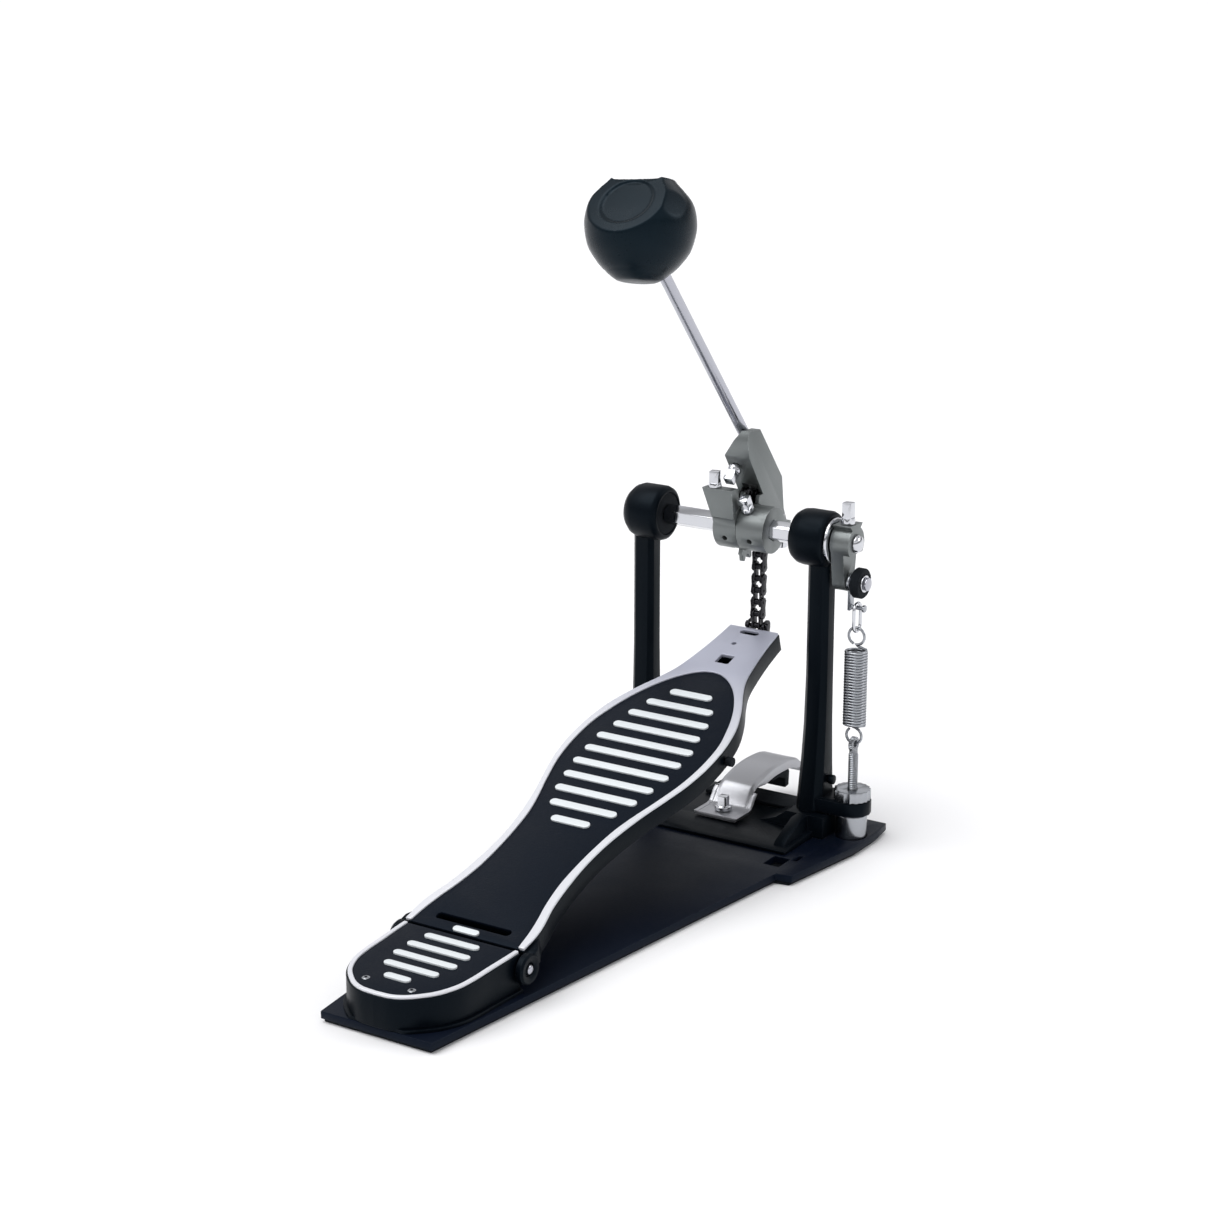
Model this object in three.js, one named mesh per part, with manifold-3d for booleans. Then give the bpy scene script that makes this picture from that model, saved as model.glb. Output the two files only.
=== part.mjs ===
// Single chain-drive bass drum pedal with base plate, return spring and hoop clamp.
// Millimetres, +Z up, +Y from the heel towards the drum, +X to the player's right.
// Origin: floor point under the axle, on the centre line of the drive.
import * as THREE from 'three';
import { mergeVertices } from 'three/addons/utils/BufferGeometryUtils.js';
import Module from 'manifold-3d';

// ---- driving dimensions ----
const AXLE_Z = 160;            // axle height above the floor
const POST_L = -58.4;          // left post centre, X
const POST_R = 43.4;           // right post centre, X
const BOSS_R = 14.5;           // bearing boss radius
const AXLE_AF = 9.5;           // hex axle across flats
const JOURNAL_R = 4;           // axle journal radius
const HINGE_Y = -250.18;       // heel hinge line, top surfaces
const HINGE_Z = 25.06;
const PIN_Y = -249.5;          // heel hinge pin axis
const PIN_Z = 16.5;
const SLOPE = 16.38;           // footboard slope, degrees
const HEEL_SLOPE = 2.92;       // heel plate slope, degrees
const BOARD_L = 273.5;         // footboard length, hinge line to toe
const BOARD_T = 3.2;           // footboard top wall
const SKIRT = 10.5;            // footboard side depth
const PLATE_Z0 = 1.5, PLATE_Z1 = 5.3; // base plate
const LEAN = 40.5;             // beater shaft lean back from vertical, degrees
const SHAFT_X = -1.5, SHAFT_Y = 5.2, SHAFT_Z = 203;   // a point on the beater shaft axis
const SHAFT_R = 3;             // beater shaft radius
const BALL_U = 160;            // beater centre, along the shaft from that point
const BALL_R = 26.3;           // beater radius
const SPROCKET_R = 17.3;       // sprocket pitch radius
const PITCH = 6.35;            // chain pitch
const TOE_Y = 15.3, TOE_Z = 102.88; // chain end pin at the toe
const SPR_X = 66;              // return spring axis, X
const ARM = 20;                // rocker arm radius
const CAST_TOP = 8.7;          // top of the bridge casting
const CLAMP_X = 0.8, CLAMP_Y = -19; // clamp screw
const GAP = 0.3;

const rad = (d) => (d * Math.PI) / 180;
const wasm = await Module();
wasm.setup();

// ---- solid helpers ----
const toM = (geo) => {
  let g = geo.index ? geo.toNonIndexed() : geo.clone();
  const p = new THREE.BufferGeometry().setAttribute('position', g.getAttribute('position'));
  const m = mergeVertices(p, 1e-4);
  return new wasm.Manifold(new wasm.Mesh({
    numProp: 3,
    vertProperties: new Float32Array(m.attributes.position.array),
    triVerts: new Uint32Array(m.index.array),
  }));
};
const fromM = (m) => {
  const me = m.getMesh();
  const g = new THREE.BufferGeometry();
  g.setAttribute('position', new THREE.BufferAttribute(new Float32Array(me.vertProperties), 3));
  g.setIndex(new THREE.BufferAttribute(new Uint32Array(me.triVerts), 1));
  const flat = g.toNonIndexed();
  flat.computeVertexNormals();
  return flat;
};
const join = (...gs) => gs.slice(1).reduce((a, g) => a.add(toM(g)), toM(gs[0]));
const cut = (m, ...gs) => gs.reduce((a, g) => a.subtract(toM(g)), m);
const solid = (m) => fromM(m);

const at = (g, x = 0, y = 0, z = 0, rx = 0, ry = 0, rz = 0) => {
  const o = g.clone();
  o.applyMatrix4(new THREE.Matrix4().makeRotationFromEuler(new THREE.Euler(rad(rx), rad(ry), rad(rz))));
  o.translate(x, y, z);
  return o;
};
const box = (x0, x1, y0, y1, z0, z1) => {
  const g = new THREE.BoxGeometry(x1 - x0, y1 - y0, z1 - z0);
  g.translate((x0 + x1) / 2, (y0 + y1) / 2, (z0 + z1) / 2);
  return g;
};
// cylinders along an axis between two coordinates
const cylX = (r, x0, x1, y, z, n = 24) => at(new THREE.CylinderGeometry(r, r, x1 - x0, n), (x0 + x1) / 2, y, z, 0, 0, 90);
const cylZ = (r, z0, z1, x, y, n = 24) => at(new THREE.CylinderGeometry(r, r, z1 - z0, n), x, y, (z0 + z1) / 2, 90, 0, 0);
const coneZ = (r0, r1, z0, z1, x, y, n = 24) => at(new THREE.CylinderGeometry(r1, r0, z1 - z0, n), x, y, (z0 + z1) / 2, 90, 0, 0);
// polygon in XY extruded in Z
const slab = (pts, z0, z1) => {
  const s = new THREE.Shape(pts.map(([x, y]) => new THREE.Vector2(x, y)));
  const g = new THREE.ExtrudeGeometry(s, { depth: z1 - z0, bevelEnabled: false, curveSegments: 1 });
  g.translate(0, 0, z0);
  return g;
};
// polygon in YZ extruded in X
const slabX = (pts, x0, x1) => {
  const g = slab(pts, x0, x1); // local x = Y, local y = Z, local z = X
  g.applyMatrix4(new THREE.Matrix4().set(0, 0, 1, 0, 1, 0, 0, 0, 0, 1, 0, 0, 0, 0, 0, 1));
  return g;
};
// lathe about Z (profile of [radius, z])
const latheZ = (prof, n = 24) => {
  const g = new THREE.LatheGeometry(prof.map(([r, z]) => new THREE.Vector2(r, z)), n);
  g.rotateX(Math.PI / 2); // lathe turns about Y; Y becomes Z
  return g;
};
const orient = (g) => { // makes sure the faces point outwards
  const m = toM(g);
  if (m.volume() >= 0) return g;
  const f = g.index ? g.toNonIndexed() : g.clone();
  const a = f.getAttribute('position').array;
  for (let i = 0; i < a.length; i += 9) for (let k = 0; k < 3; k++) [a[i + 3 + k], a[i + 6 + k]] = [a[i + 6 + k], a[i + 3 + k]];
  return f;
};
// ring of wire: path points closed, round section
const tubeAlong = (curve, r, steps, sides, closed = false) => {
  const s = new THREE.Shape();
  for (let i = 0; i < sides; i++) {
    const a = (i / sides) * 2 * Math.PI;
    if (i === 0) s.moveTo(r * Math.cos(a), r * Math.sin(a)); else s.lineTo(r * Math.cos(a), r * Math.sin(a));
  }
  return orient(new THREE.ExtrudeGeometry(s, { steps, bevelEnabled: false, extrudePath: curve, curveSegments: 1 }));
};
const torus = (R, r, plane, x, y, z, nr = 8, nR = 20) => {
  const g = new THREE.TorusGeometry(R, r, nr, nR); // lies in XY
  if (plane === 'XZ') g.rotateX(Math.PI / 2);
  if (plane === 'YZ') g.rotateY(Math.PI / 2);
  g.translate(x, y, z);
  return g;
};
const hexX = (af, x0, x1, y, z) => at(new THREE.CylinderGeometry(af / Math.sqrt(3), af / Math.sqrt(3), x1 - x0, 6), (x0 + x1) / 2, y, z, 0, 0, 90);
// loft through polygons of equal count, listed bottom to top
const loft = (rings) => {
  const n = rings[0].length, pos = [];
  const P = (i, j) => rings[i][((j % n) + n) % n];
  const tri = (a, b, c) => pos.push(...a, ...b, ...c);
  for (let i = 0; i + 1 < rings.length; i++) for (let j = 0; j < n; j++) {
    tri(P(i, j), P(i, j + 1), P(i + 1, j + 1)); tri(P(i, j), P(i + 1, j + 1), P(i + 1, j));
  }
  for (let j = 1; j + 1 < n; j++) { tri(P(0, 0), P(0, j + 1), P(0, j)); tri(P(rings.length - 1, 0), P(rings.length - 1, j), P(rings.length - 1, j + 1)); }
  const g = new THREE.BufferGeometry();
  g.setAttribute('position', new THREE.BufferAttribute(new Float32Array(pos), 3));
  return orient(g);
};
const cutTo = (g, top) => fromM(toM(g).intersect(toM(box(-200, 200, -400, 200, -10, top))));
const interp = (table, s) => {
  for (let i = 0; i + 1 < table.length; i++) {
    const [a, va] = table[i], [b, vb] = table[i + 1];
    if (s >= a && s <= b) return va + ((vb - va) * (s - a)) / (b - a);
  }
  return s < table[0][0] ? table[0][1] : table[table.length - 1][1];
};
const smoothOutline = (table, n, s0, s1) => { // right side spline, then mirrored
  const c = new THREE.CatmullRomCurve3(table.map(([s, w]) => new THREE.Vector3(w, s, 0)), false, 'centripetal');
  const right = c.getPoints(n).map((p) => [p.x, p.y]).filter(([, s]) => s >= s0 - 1e-6 && s <= s1 + 1e-6);
  const left = right.slice().reverse().map(([x, s]) => [-x, s]);
  return [...right, ...left];
};
const capsule = (halfLen, halfW, s, z0, z1, n = 4) => { // bar along X with round ends, in board XY
  const pts = [];
  for (let i = 0; i <= n; i++) { const a = -Math.PI / 2 + (i / n) * Math.PI; pts.push([halfLen - halfW + halfW * Math.cos(a), s + halfW * Math.sin(a)]); }
  for (let i = 0; i <= n; i++) { const a = Math.PI / 2 + (i / n) * Math.PI; pts.push([-halfLen + halfW + halfW * Math.cos(a), s + halfW * Math.sin(a)]); }
  return slab(pts, z0, z1);
};

const root = new THREE.Group();
root.name = 'bass_drum_pedal';
const MAT = {
  black: { color: 0x14161c, roughness: 0.42, metalness: 0.5 },
  blacksatin: { color: 0x101218, roughness: 0.55, metalness: 0.2 },
  rubber: { color: 0x0c0c0e, roughness: 0.9, metalness: 0 },
  cast: { color: 0x8d9492, roughness: 0.45, metalness: 0.8 },
  chrome: { color: 0xd8d8dc, roughness: 0.12, metalness: 1 },
  zinc: { color: 0xb9bcc0, roughness: 0.3, metalness: 1 },
  steel: { color: 0xc4c4c8, roughness: 0.28, metalness: 1 },
  silver: { color: 0xbab7c2, roughness: 0.4, metalness: 0.9 },
  chain: { color: 0x1a1a1e, roughness: 0.35, metalness: 0.9 },
  beater: { color: 0x0f1417, roughness: 0.35, metalness: 0 },
};
const mats = Object.fromEntries(Object.entries(MAT).map(([k, v]) => [k, v]));
const add = (name, geo, mat, parent = root) => {
  const m = new THREE.Mesh(geo, new THREE.MeshStandardMaterial(mats[mat]));
  m.name = name;
  parent.add(m);
  return m;
};

// ---- base plate and mat ----
const plateOutline = [[-30.3, -315], [30.3, -315], [59.6, -67.5], [67.8, -66.1], [75.8, -13], [75.8, 11], [73.8, 24.3], [-78, 24.3], [-79, -21], [-72.5, -66.1], [-59.6, -67.5]];
const inset = (pts, d) => pts.map(([x, y]) => [x - Math.sign(x) * d, y > -200 ? (y > 0 ? y - d : y) : y + d]);
{
  const sleeveHole = cylZ(8.2, -1, 8, SPR_X, 0, 24);
  let p = cut(join(slab(plateOutline, PLATE_Z0, PLATE_Z1)), sleeveHole,
    box(47.5, 56.5, -59, -47, 0, 8), box(-61, -52, -59, -47, 0, 8), box(57.5, 60.5, -47.5, -40, 0, 8));
  add('base_plate', solid(p), 'black');
  let m = cut(join(slab(inset(plateOutline, 1.2), 0, PLATE_Z0 - GAP)), sleeveHole);
  add('rubber_mat', solid(m), 'rubber');
}

// ---- frame casting: bridge between the posts ----
const FZ = PLATE_Z1 + GAP; // underside of what stands on the plate
{
  const bridge = slabX([[-44, FZ], [-44, FZ + 1.2], [-31, CAST_TOP], [3, CAST_TOP], [22, CAST_TOP], [22, FZ]], -66, 51.5);
  const wingR = orient(at(slab([[14, FZ], [20, CAST_TOP], [30, 12.4], [36, 17], [57.2, 17], [57.2, FZ]], -3.6, 15), 0, 0, 0, 90, 0, 0));
  const wingL = orient(at(slab([[-14, FZ], [-26, CAST_TOP], [-40, 12.4], [-48, 17], [-69, 17], [-69, FZ]], -3.6, 15), 0, 0, 0, 90, 0, 0));
  const rib = slabX([[-40, 7], [-38, 9.4], [-12, 21], [-8, 17], [-8, 7]], 42.4, 48.4);
  const rib2 = slabX([[-40, 7], [-38, 9.4], [-12, 21], [-8, 17], [-8, 7]], -61.4, -55.4);
  let b = join(bridge, wingR, wingL, box(36.2, 57.2, -15, 12.5, 7, 17), box(-69, -47.4, -15, 12.5, 7, 17), cutTo(rib, 16.9), cutTo(rib2, 16.9));
  b = b.subtract(toM(cylZ(2.9, FZ - 1, CAST_TOP + 1, CLAMP_X, CLAMP_Y, 16)));
  add('frame_casting', solid(b), 'black');
  add('hoop_pad', slab([[-24, 4.5], [28, 4.5], [28, 21.5], [-24, 21.5]], CAST_TOP + GAP, CAST_TOP + 2.1), 'rubber');
}

// ---- posts ----
const PZ0 = 17 + GAP;
const section = (cx, cy, hx, hy, c, z) => [[cx + hx, cy - hy + c, z], [cx + hx, cy + hy - c, z], [cx + hx - c, cy + hy, z], [cx - hx + c, cy + hy, z], [cx - hx, cy + hy - c, z], [cx - hx, cy - hy + c, z], [cx - hx + c, cy - hy, z], [cx + hx - c, cy - hy, z]];
const postBody = (cx, dir) => {
  // z, half X, half Y, centre shift X (towards the middle at the foot), shift Y
  const T = [[PZ0, 7.4, 9.6, -0.6 * dir, -1.0], [26, 7.2, 8.8, -0.5 * dir, -0.9], [42, 6.8, 7.4, -0.3 * dir, -0.5], [62, 6.4, 6.3, -0.1 * dir, -0.2], [88, 6.15, 5.6, 0, 0], [120, 6.1, 5.5, 0, 0], [AXLE_Z - 6, 6.1, 5.5, 0, 0]];
  return loft(T.map(([z, hx, hy, sx, sy]) => section(cx + sx, sy, hx, hy, Math.min(hx, hy) * 0.45, z)));
};
{
  // left: boss closed and domed on its outer side
  const prof = [[0, -10], [6.5, -9.7], [10.6, -8.2], [13.2, -5.4], [BOSS_R, -2], [BOSS_R, 9.6], [13.8, 11.6], [12.2, 12.7], [0, 12.7]];
  const bossL = orient(at(latheZ(prof, 32), POST_L, 0, AXLE_Z, 0, 90, 0));
  let L = join(postBody(POST_L, -1), bossL);
  L = cut(L, cylX(11 + GAP, POST_L + 6.1, POST_L + 20, 0, AXLE_Z, 32), cylX(6, POST_L - 2.5, POST_L + 8, 0, AXLE_Z, 24));
  L = cut(L, cylX(2.2, POST_L - 20, POST_L - 2.8, 0, 33, 12));
  add('left_post', solid(L), 'black');
  // right: boss open right through, with the ear for the spring rod
  const profR = [[0, -12.6], [9.6, -12.6], [12.4, -11.2], [14, -8.6], [BOSS_R, -5], [BOSS_R, 5.6], [13.8, 7.4], [12.6, 8], [0, 8]];
  const bossR = orient(at(latheZ(profR, 32), POST_R, 0, AXLE_Z, 0, 90, 0));
  let R = join(postBody(POST_R + 2, 1), bossR);
  R = R.add(toM(slab([[44, -9.5], [SPR_X, -9.8], [SPR_X + 5, -8.4], [SPR_X + 8.6, -4.8], [SPR_X + 9.8, 0], [SPR_X + 8.6, 4.8], [SPR_X + 5, 8.4], [SPR_X, 9.8], [44, 9.5]], 18.0, 24.8)));
  R = cut(R, cylX(11 + GAP, POST_R - 3.4, POST_R + 4.2, 0, AXLE_Z, 32).clone());
  R = cut(R, cylX(11 + GAP, POST_R + 3.9, POST_R + 20, 0, AXLE_Z, 32), cylX(6.4, POST_R - 20, POST_R - 3, 0, AXLE_Z, 24));
  R = cut(R, cylZ(2.5 + GAP, 10, 40, SPR_X, 0, 20), cylX(2.2, POST_R + 4.9, POST_R + 20, 0, 33, 12));
  add('right_post', solid(R), 'black');
  const screwX = (x, dir) => orient(solid(join(cylX(1.9, Math.min(x, x - 4 * dir), Math.max(x, x - 4 * dir), 0, 33, 12), cylX(2.5, Math.min(x, x + 2.6 * dir), Math.max(x, x + 2.6 * dir), 0, 33, 14))));
  add('post_screw_right', screwX(POST_R + 9.3, 1), 'black');
  add('post_screw_left', screwX(POST_L - 7.2, -1), 'black');
}

// ---- bearings ----
const bearing = (x0, x1) => {
  const g = [[4 + GAP, x0], [11, x0], [11, x1], [4 + GAP, x1], [4 + GAP, x0]];
  return orient(at(latheZ(g, 32), 0, 0, AXLE_Z, 0, 90, 0));
};
add('left_bearing', bearing(POST_L + 6.4, POST_L + 12.4), 'steel');
add('right_bearing', bearing(POST_R - 3.1, POST_R + 3.6), 'steel');

// ---- axle ----
{
  const a = join(hexX(AXLE_AF, POST_L + 12.8, POST_R - 4.0, 0, AXLE_Z), cylX(JOURNAL_R, POST_L - 1.6, POST_L + 13, 0, AXLE_Z, 24), cylX(JOURNAL_R, POST_R - 4.2, 63.8, 0, AXLE_Z, 24));
  add('axle', solid(a), 'chrome');
  const ring = orient(at(latheZ([[4 + GAP, 51.8], [11.4, 51.8], [11.8, 52.2], [11.8, 53.0], [11.4, 53.4], [4 + GAP, 53.4], [4 + GAP, 51.8]], 32), 0, 0, AXLE_Z, 0, 90, 0));
  add('bearing_ring', ring, 'chrome');
}

// ---- sprocket hub on the drum side, beater holder ----
const circleYZ = (r, a0, a1, n) => Array.from({ length: n + 1 }, (_, i) => { const a = rad(a0 + ((a1 - a0) * i) / n); return [r * Math.cos(a), AXLE_Z + r * Math.sin(a)]; });
{
  const hub = cylX(12, 1.7, 17.2, 0, AXLE_Z, 36);
  const ears = slabX([[6, 153], [20, 153.5], [20.5, 156.2], [20.5, 160.8], [6, 164]], 8.2, 15.6);
  // toothed sector: half disc on the drum side and one tooth beyond the bottom
  const pts = [];
  const step = (2 * Math.asin(PITCH / 2 / SPROCKET_R) * 180) / Math.PI;
  for (let k = 0; k < 10; k++) { // teeth between chain rollers
    const c = -95.175 + k * step;
    pts.push(...[[-0.5, 15.0], [-0.28, 15.1], [-0.1, 18.2], [0.1, 18.2], [0.28, 15.1]].map(([f, r]) => { const a = rad(c + f * step); return [r * Math.cos(a), AXLE_Z + r * Math.sin(a)]; }));
  }
  const aEnd = rad(-95.175 + 9.5 * step);
  pts.push([15 * Math.cos(aEnd), AXLE_Z + 15 * Math.sin(aEnd)], [9 * Math.cos(aEnd), AXLE_Z + 9 * Math.sin(aEnd)], [7, AXLE_Z + 4], [7, AXLE_Z - 5], [9 * Math.cos(rad(-103)), AXLE_Z + 9 * Math.sin(rad(-103))]);
  const sector = slabX(pts, -1.2, 1.2);
  let h = join(hub, ears).add(toM(orient(sector))).add(toM(orient(slabX([...circleYZ(12.6, -96, 96, 16), [0, 160]], -1.2, 2))));
  h = cut(h, hexX(AXLE_AF + 2 * GAP, -5, 25, 0, AXLE_Z), box(8, 16, 5, 30, 158.2, 159.4), cylZ(2.4, 150, 170, 12, 16, 14), cylX(1.6, 4, 6, 0, 300, 8));
  h = cut(h, at(new THREE.CylinderGeometry(1.5, 1.5, 8, 12), 9.2, -12, AXLE_Z - 5.0, 20, 0, 0), at(new THREE.CylinderGeometry(2.3, 2.3, 12, 14), 5.4, -12.4 * Math.sin(rad(30.5)), AXLE_Z + 12.4 * Math.cos(rad(30.5)), 90 + 30.5, 0, 0));
  add('sprocket_hub', solid(h), 'cast');
  add('hub_clamp_screw', solid(join(cylZ(2.1, 149.5, 164.8, 12, 16, 14), cylZ(4, 147.3, 152.6, 12, 16, 18))), 'chrome');

  const ring = cylX(12, -11.8, 1.4, 0, AXLE_Z, 36);
  const block = slabX([[3.6, 210.6], [27.2, 181.2], [29.5, 164], [32.5, 157.5], [29, 155.5], [14.6, 156], [13.6, 159.5], [13.2, 168], [-7, 197.6], [-9, 206], [-7.5, 211.4]], -8.2, 6.4);
  const web = slabX([[2, 160], [16, 155.6], [26, 158], [20, 176], [4, 176]], -9.5, 1.4);
  const cheek = slabX([[2, 168], [15, 152.5], [28, 157], [22, 176], [4, 176]], 4.4, 6.4);
  // front jaw standing on the ring, leaning out to the left
  const jaw = loft([
    [[-11.6, -13.6, 166.5], [1.4, -13.6, 166.5], [1.4, -6.6, 166.5], [-11.6, -6.6, 166.5]],
    [[-16.8, -14.6, 181.2], [0.4, -14.6, 181.2], [0.4, -7.6, 181.2], [-16.8, -7.6, 181.2]]]);
  const jawfoot = slabX([[-13.6, 167.5], [-11.4, 162], [0, 160], [0, 171.8], [-6.6, 171.8]], -11.6, 1.4);
  const bridge = slabX([[-9, 171], [-9, 176], [14, 176], [14, 168], [0, 168]], -8, -1.6);
  let b = join(ring, block, web, orient(cheek)).add(toM(jaw)).add(toM(orient(jawfoot))).add(toM(orient(bridge)));
  b = cut(b, hexX(AXLE_AF + 2 * GAP, -20, 25, 0, AXLE_Z), box(-1.5, 3, -0.6, 13.2, 130, 171.5), box(-1.5, 3, -13, 0.1, 140, 147.9));
  b = cut(b, at(new THREE.CylinderGeometry(1.5, 1.5, 8, 12), -5.2, -12, AXLE_Z - 5.0, 20, 0, 0));
  b = cut(b, cylX(12.3, 1.5, 20, 0, AXLE_Z, 36));
  // clearance round the toothed sector and the chain above the ring
  b = cut(b, orient(slabX([...circleYZ(21.6, -110, 108, 24), [-4.2, 160]], -4.4, 4.4)));
  // slot between the cheeks that the chain hangs through while the axle turns forward
  b = cut(b, orient(slabX([[0, 160], [14.04, 176.15], [37.5, 155.76], [37.5, 148], [6, 148]], -4.4, 4.4)));
  // along and across the beater shaft
  const P = (u, v) => [SHAFT_Y - u * Math.sin(rad(LEAN)) + v * Math.cos(rad(LEAN)), SHAFT_Z + u * Math.cos(rad(LEAN)) + v * Math.sin(rad(LEAN))];
  const KEY_U = -3.2, KEY_X = -3.4;
  b = cut(b, orient(at(slab([[3.2, 213], [-8.4, 197.2], [-12, 197.2], [-12, 230], [3.2, 230]], -30, 30), 0, 0, 0, 90, 0, 0)));
  // round bore for the beater shaft
  const bore = at(new THREE.CylinderGeometry(SHAFT_R + GAP, SHAFT_R + GAP, 120, 20), SHAFT_X, SHAFT_Y, SHAFT_Z, 90 + LEAN, 0, 0);
  b = cut(b, bore);
  // key screw holes
  b = cut(b, cylZ(2.3, 170, 185, -11.2, -11, 12));
  b = cut(b, at(new THREE.CylinderGeometry(2.3, 2.3, 22, 12), KEY_X, P(KEY_U, -16)[0], P(KEY_U, -16)[1], LEAN, 0, 0));
  add('beater_holder', solid(b), 'cast');

  // key screws: threaded shank, collar and square head
  const key = (shank, lift = 0) => join(cylZ(2.0, -shank, 0.1, 0, 0, 12), coneZ(3.6, 3.2, 0, 2.2, 0, 0, 14), box(-2.4, 2.4, -2.4, 2.4, 2, 8.2));
  const keyAt = (m, x, y, z, rx, ry = 0, rz = 0) => orient(at(solid(m), x, y, z, rx, ry, rz));
  add('lock_key_screw', keyAt(key(9), -11.2, -11, 181.5, 0, 0, 12), 'chrome');
  const [ky, kz] = P(KEY_U, -15.6);
  add('shaft_key_screw', keyAt(key(8.6), KEY_X, ky, kz, 90 + LEAN, 0, 0), 'chrome');
  add('hub_key_screw', keyAt(key(5.2), 5.4, -12.4 * Math.sin(rad(30.5)), AXLE_Z + 12.4 * Math.cos(rad(30.5)), 30.5, 0, 0), 'chrome');
}

// ---- beater ----
{
  const g = new THREE.Group();
  g.position.set(SHAFT_X, SHAFT_Y, SHAFT_Z);
  g.rotation.x = rad(LEAN);
  root.add(g);
  const shaft = latheZ([[0, -36], [SHAFT_R - 0.5, -36], [SHAFT_R, -35.4], [SHAFT_R, BALL_U - 14], [0, BALL_U - 14]], 20);
  add('beater_shaft', orient(shaft), 'steel', g);
  // head: rounded drum-shaped ball, its flats level when the beater is at rest
  const prof = [[0, -25.4], [11.5, -25.4], [17.2, -22.6], [21.4, -18], [24.8, -10.5], [BALL_R, -2], [25.9, 5.5], [23.6, 13], [20.2, 18.8], [16.5, 22.8], [0, 22.8]];
  let ball = orient(latheZ(prof, 28));
  const cy = SHAFT_Y - BALL_U * Math.sin(rad(LEAN)), cz = SHAFT_Z + BALL_U * Math.cos(rad(LEAN));
  const world = at(ball, SHAFT_X, cy, cz);
  const socket = at(new THREE.CylinderGeometry(SHAFT_R + GAP, SHAFT_R + GAP, 30, 20), SHAFT_X, cy + 28.6 * Math.sin(rad(LEAN)), cz - 28.6 * Math.cos(rad(LEAN)), 90 + LEAN, 0, 0);
  add('beater_head', solid(cut(join(world), socket)), 'beater');
}

// ---- roller chain ----
const plateShape = (len) => { // figure-eight plate outline in local (along, across)
  const pts = [], n = 4, R = 2.75, W = 1.9;
  const h = len / 2;
  for (let i = 0; i <= n; i++) { const a = rad(-70 + (140 * i) / n); pts.push([h + R * Math.cos(a), R * Math.sin(a)]); }
  pts.push([0, W]);
  for (let i = 0; i <= n; i++) { const a = rad(110 + (140 * i) / n); pts.push([-h + R * Math.cos(a), R * Math.sin(a)]); }
  pts.push([0, -W]);
  return pts;
};
const plateX = (x0, x1) => { // plate centred on origin, long axis along Z
  const g = slabX(plateShape(PITCH).map(([a, b]) => [b, a]), x0, x1);
  return orient(g);
};
const outerLink = () => {
  let m = join(plateX(2.55, 3.35), plateX(-3.35, -2.55));
  for (const s of [-1, 1]) m = m.add(toM(cylX(0.8, -3.7, 3.7, 0, (s * PITCH) / 2, 8)));
  return m;
};
const innerLink = () => {
  let m = join(plateX(1.5, 2.25), plateX(-2.25, -1.5));
  for (const s of [-1, 1]) m = m.add(toM(cylX(1.65, -1.6, 1.6, 0, (s * PITCH) / 2, 10)));
  for (const s of [-1, 1]) m = m.subtract(toM(cylX(1.12, -5, 5, 0, (s * PITCH) / 2, 8)));
  return m;
};
const linkAt = (m, p0, p1) => { // p = [y, z] pin centres
  const dy = p1[0] - p0[0], dz = p1[1] - p0[1];
  const ang = Math.atan2(-dy, dz); // turn of +Z towards the link direction about X
  return orient(at(solid(m), 0, (p0[0] + p1[0]) / 2, (p0[1] + p1[1]) / 2, (ang * 180) / Math.PI, 0, 0));
};
{
  const TH = (2 * Math.asin(PITCH / 2 / SPROCKET_R) * 180) / Math.PI;
  const pin = (k) => [SPROCKET_R * Math.cos(rad(k * TH)), AXLE_Z + SPROCKET_R * Math.sin(rad(k * TH))];
  // straight run, from the tangent point down to the toe pin
  const L = 9 * PITCH;
  const dy = (TOE_Y - SPROCKET_R) / L, dz = -Math.sqrt(1 - dy * dy);
  for (let i = 0; i < 9; i++) {
    const a = [SPROCKET_R + dy * PITCH * i, AXLE_Z + dz * PITCH * i], b = [SPROCKET_R + dy * PITCH * (i + 1), AXLE_Z + dz * PITCH * (i + 1)];
    add('chain_link_' + (i + 1), linkAt(i % 2 ? outerLink() : innerLink(), b, a), 'chain');
  }
  // links lying on the sprocket
  ['unwrap_a', 'unwrap_b', 'wrap_c', 'wrap_d'].forEach((n, k) => {
    add('chain_' + n, linkAt(k % 2 ? innerLink() : outerLink(), pin(k), pin(k + 1)), 'chain');
  });
}

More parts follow.
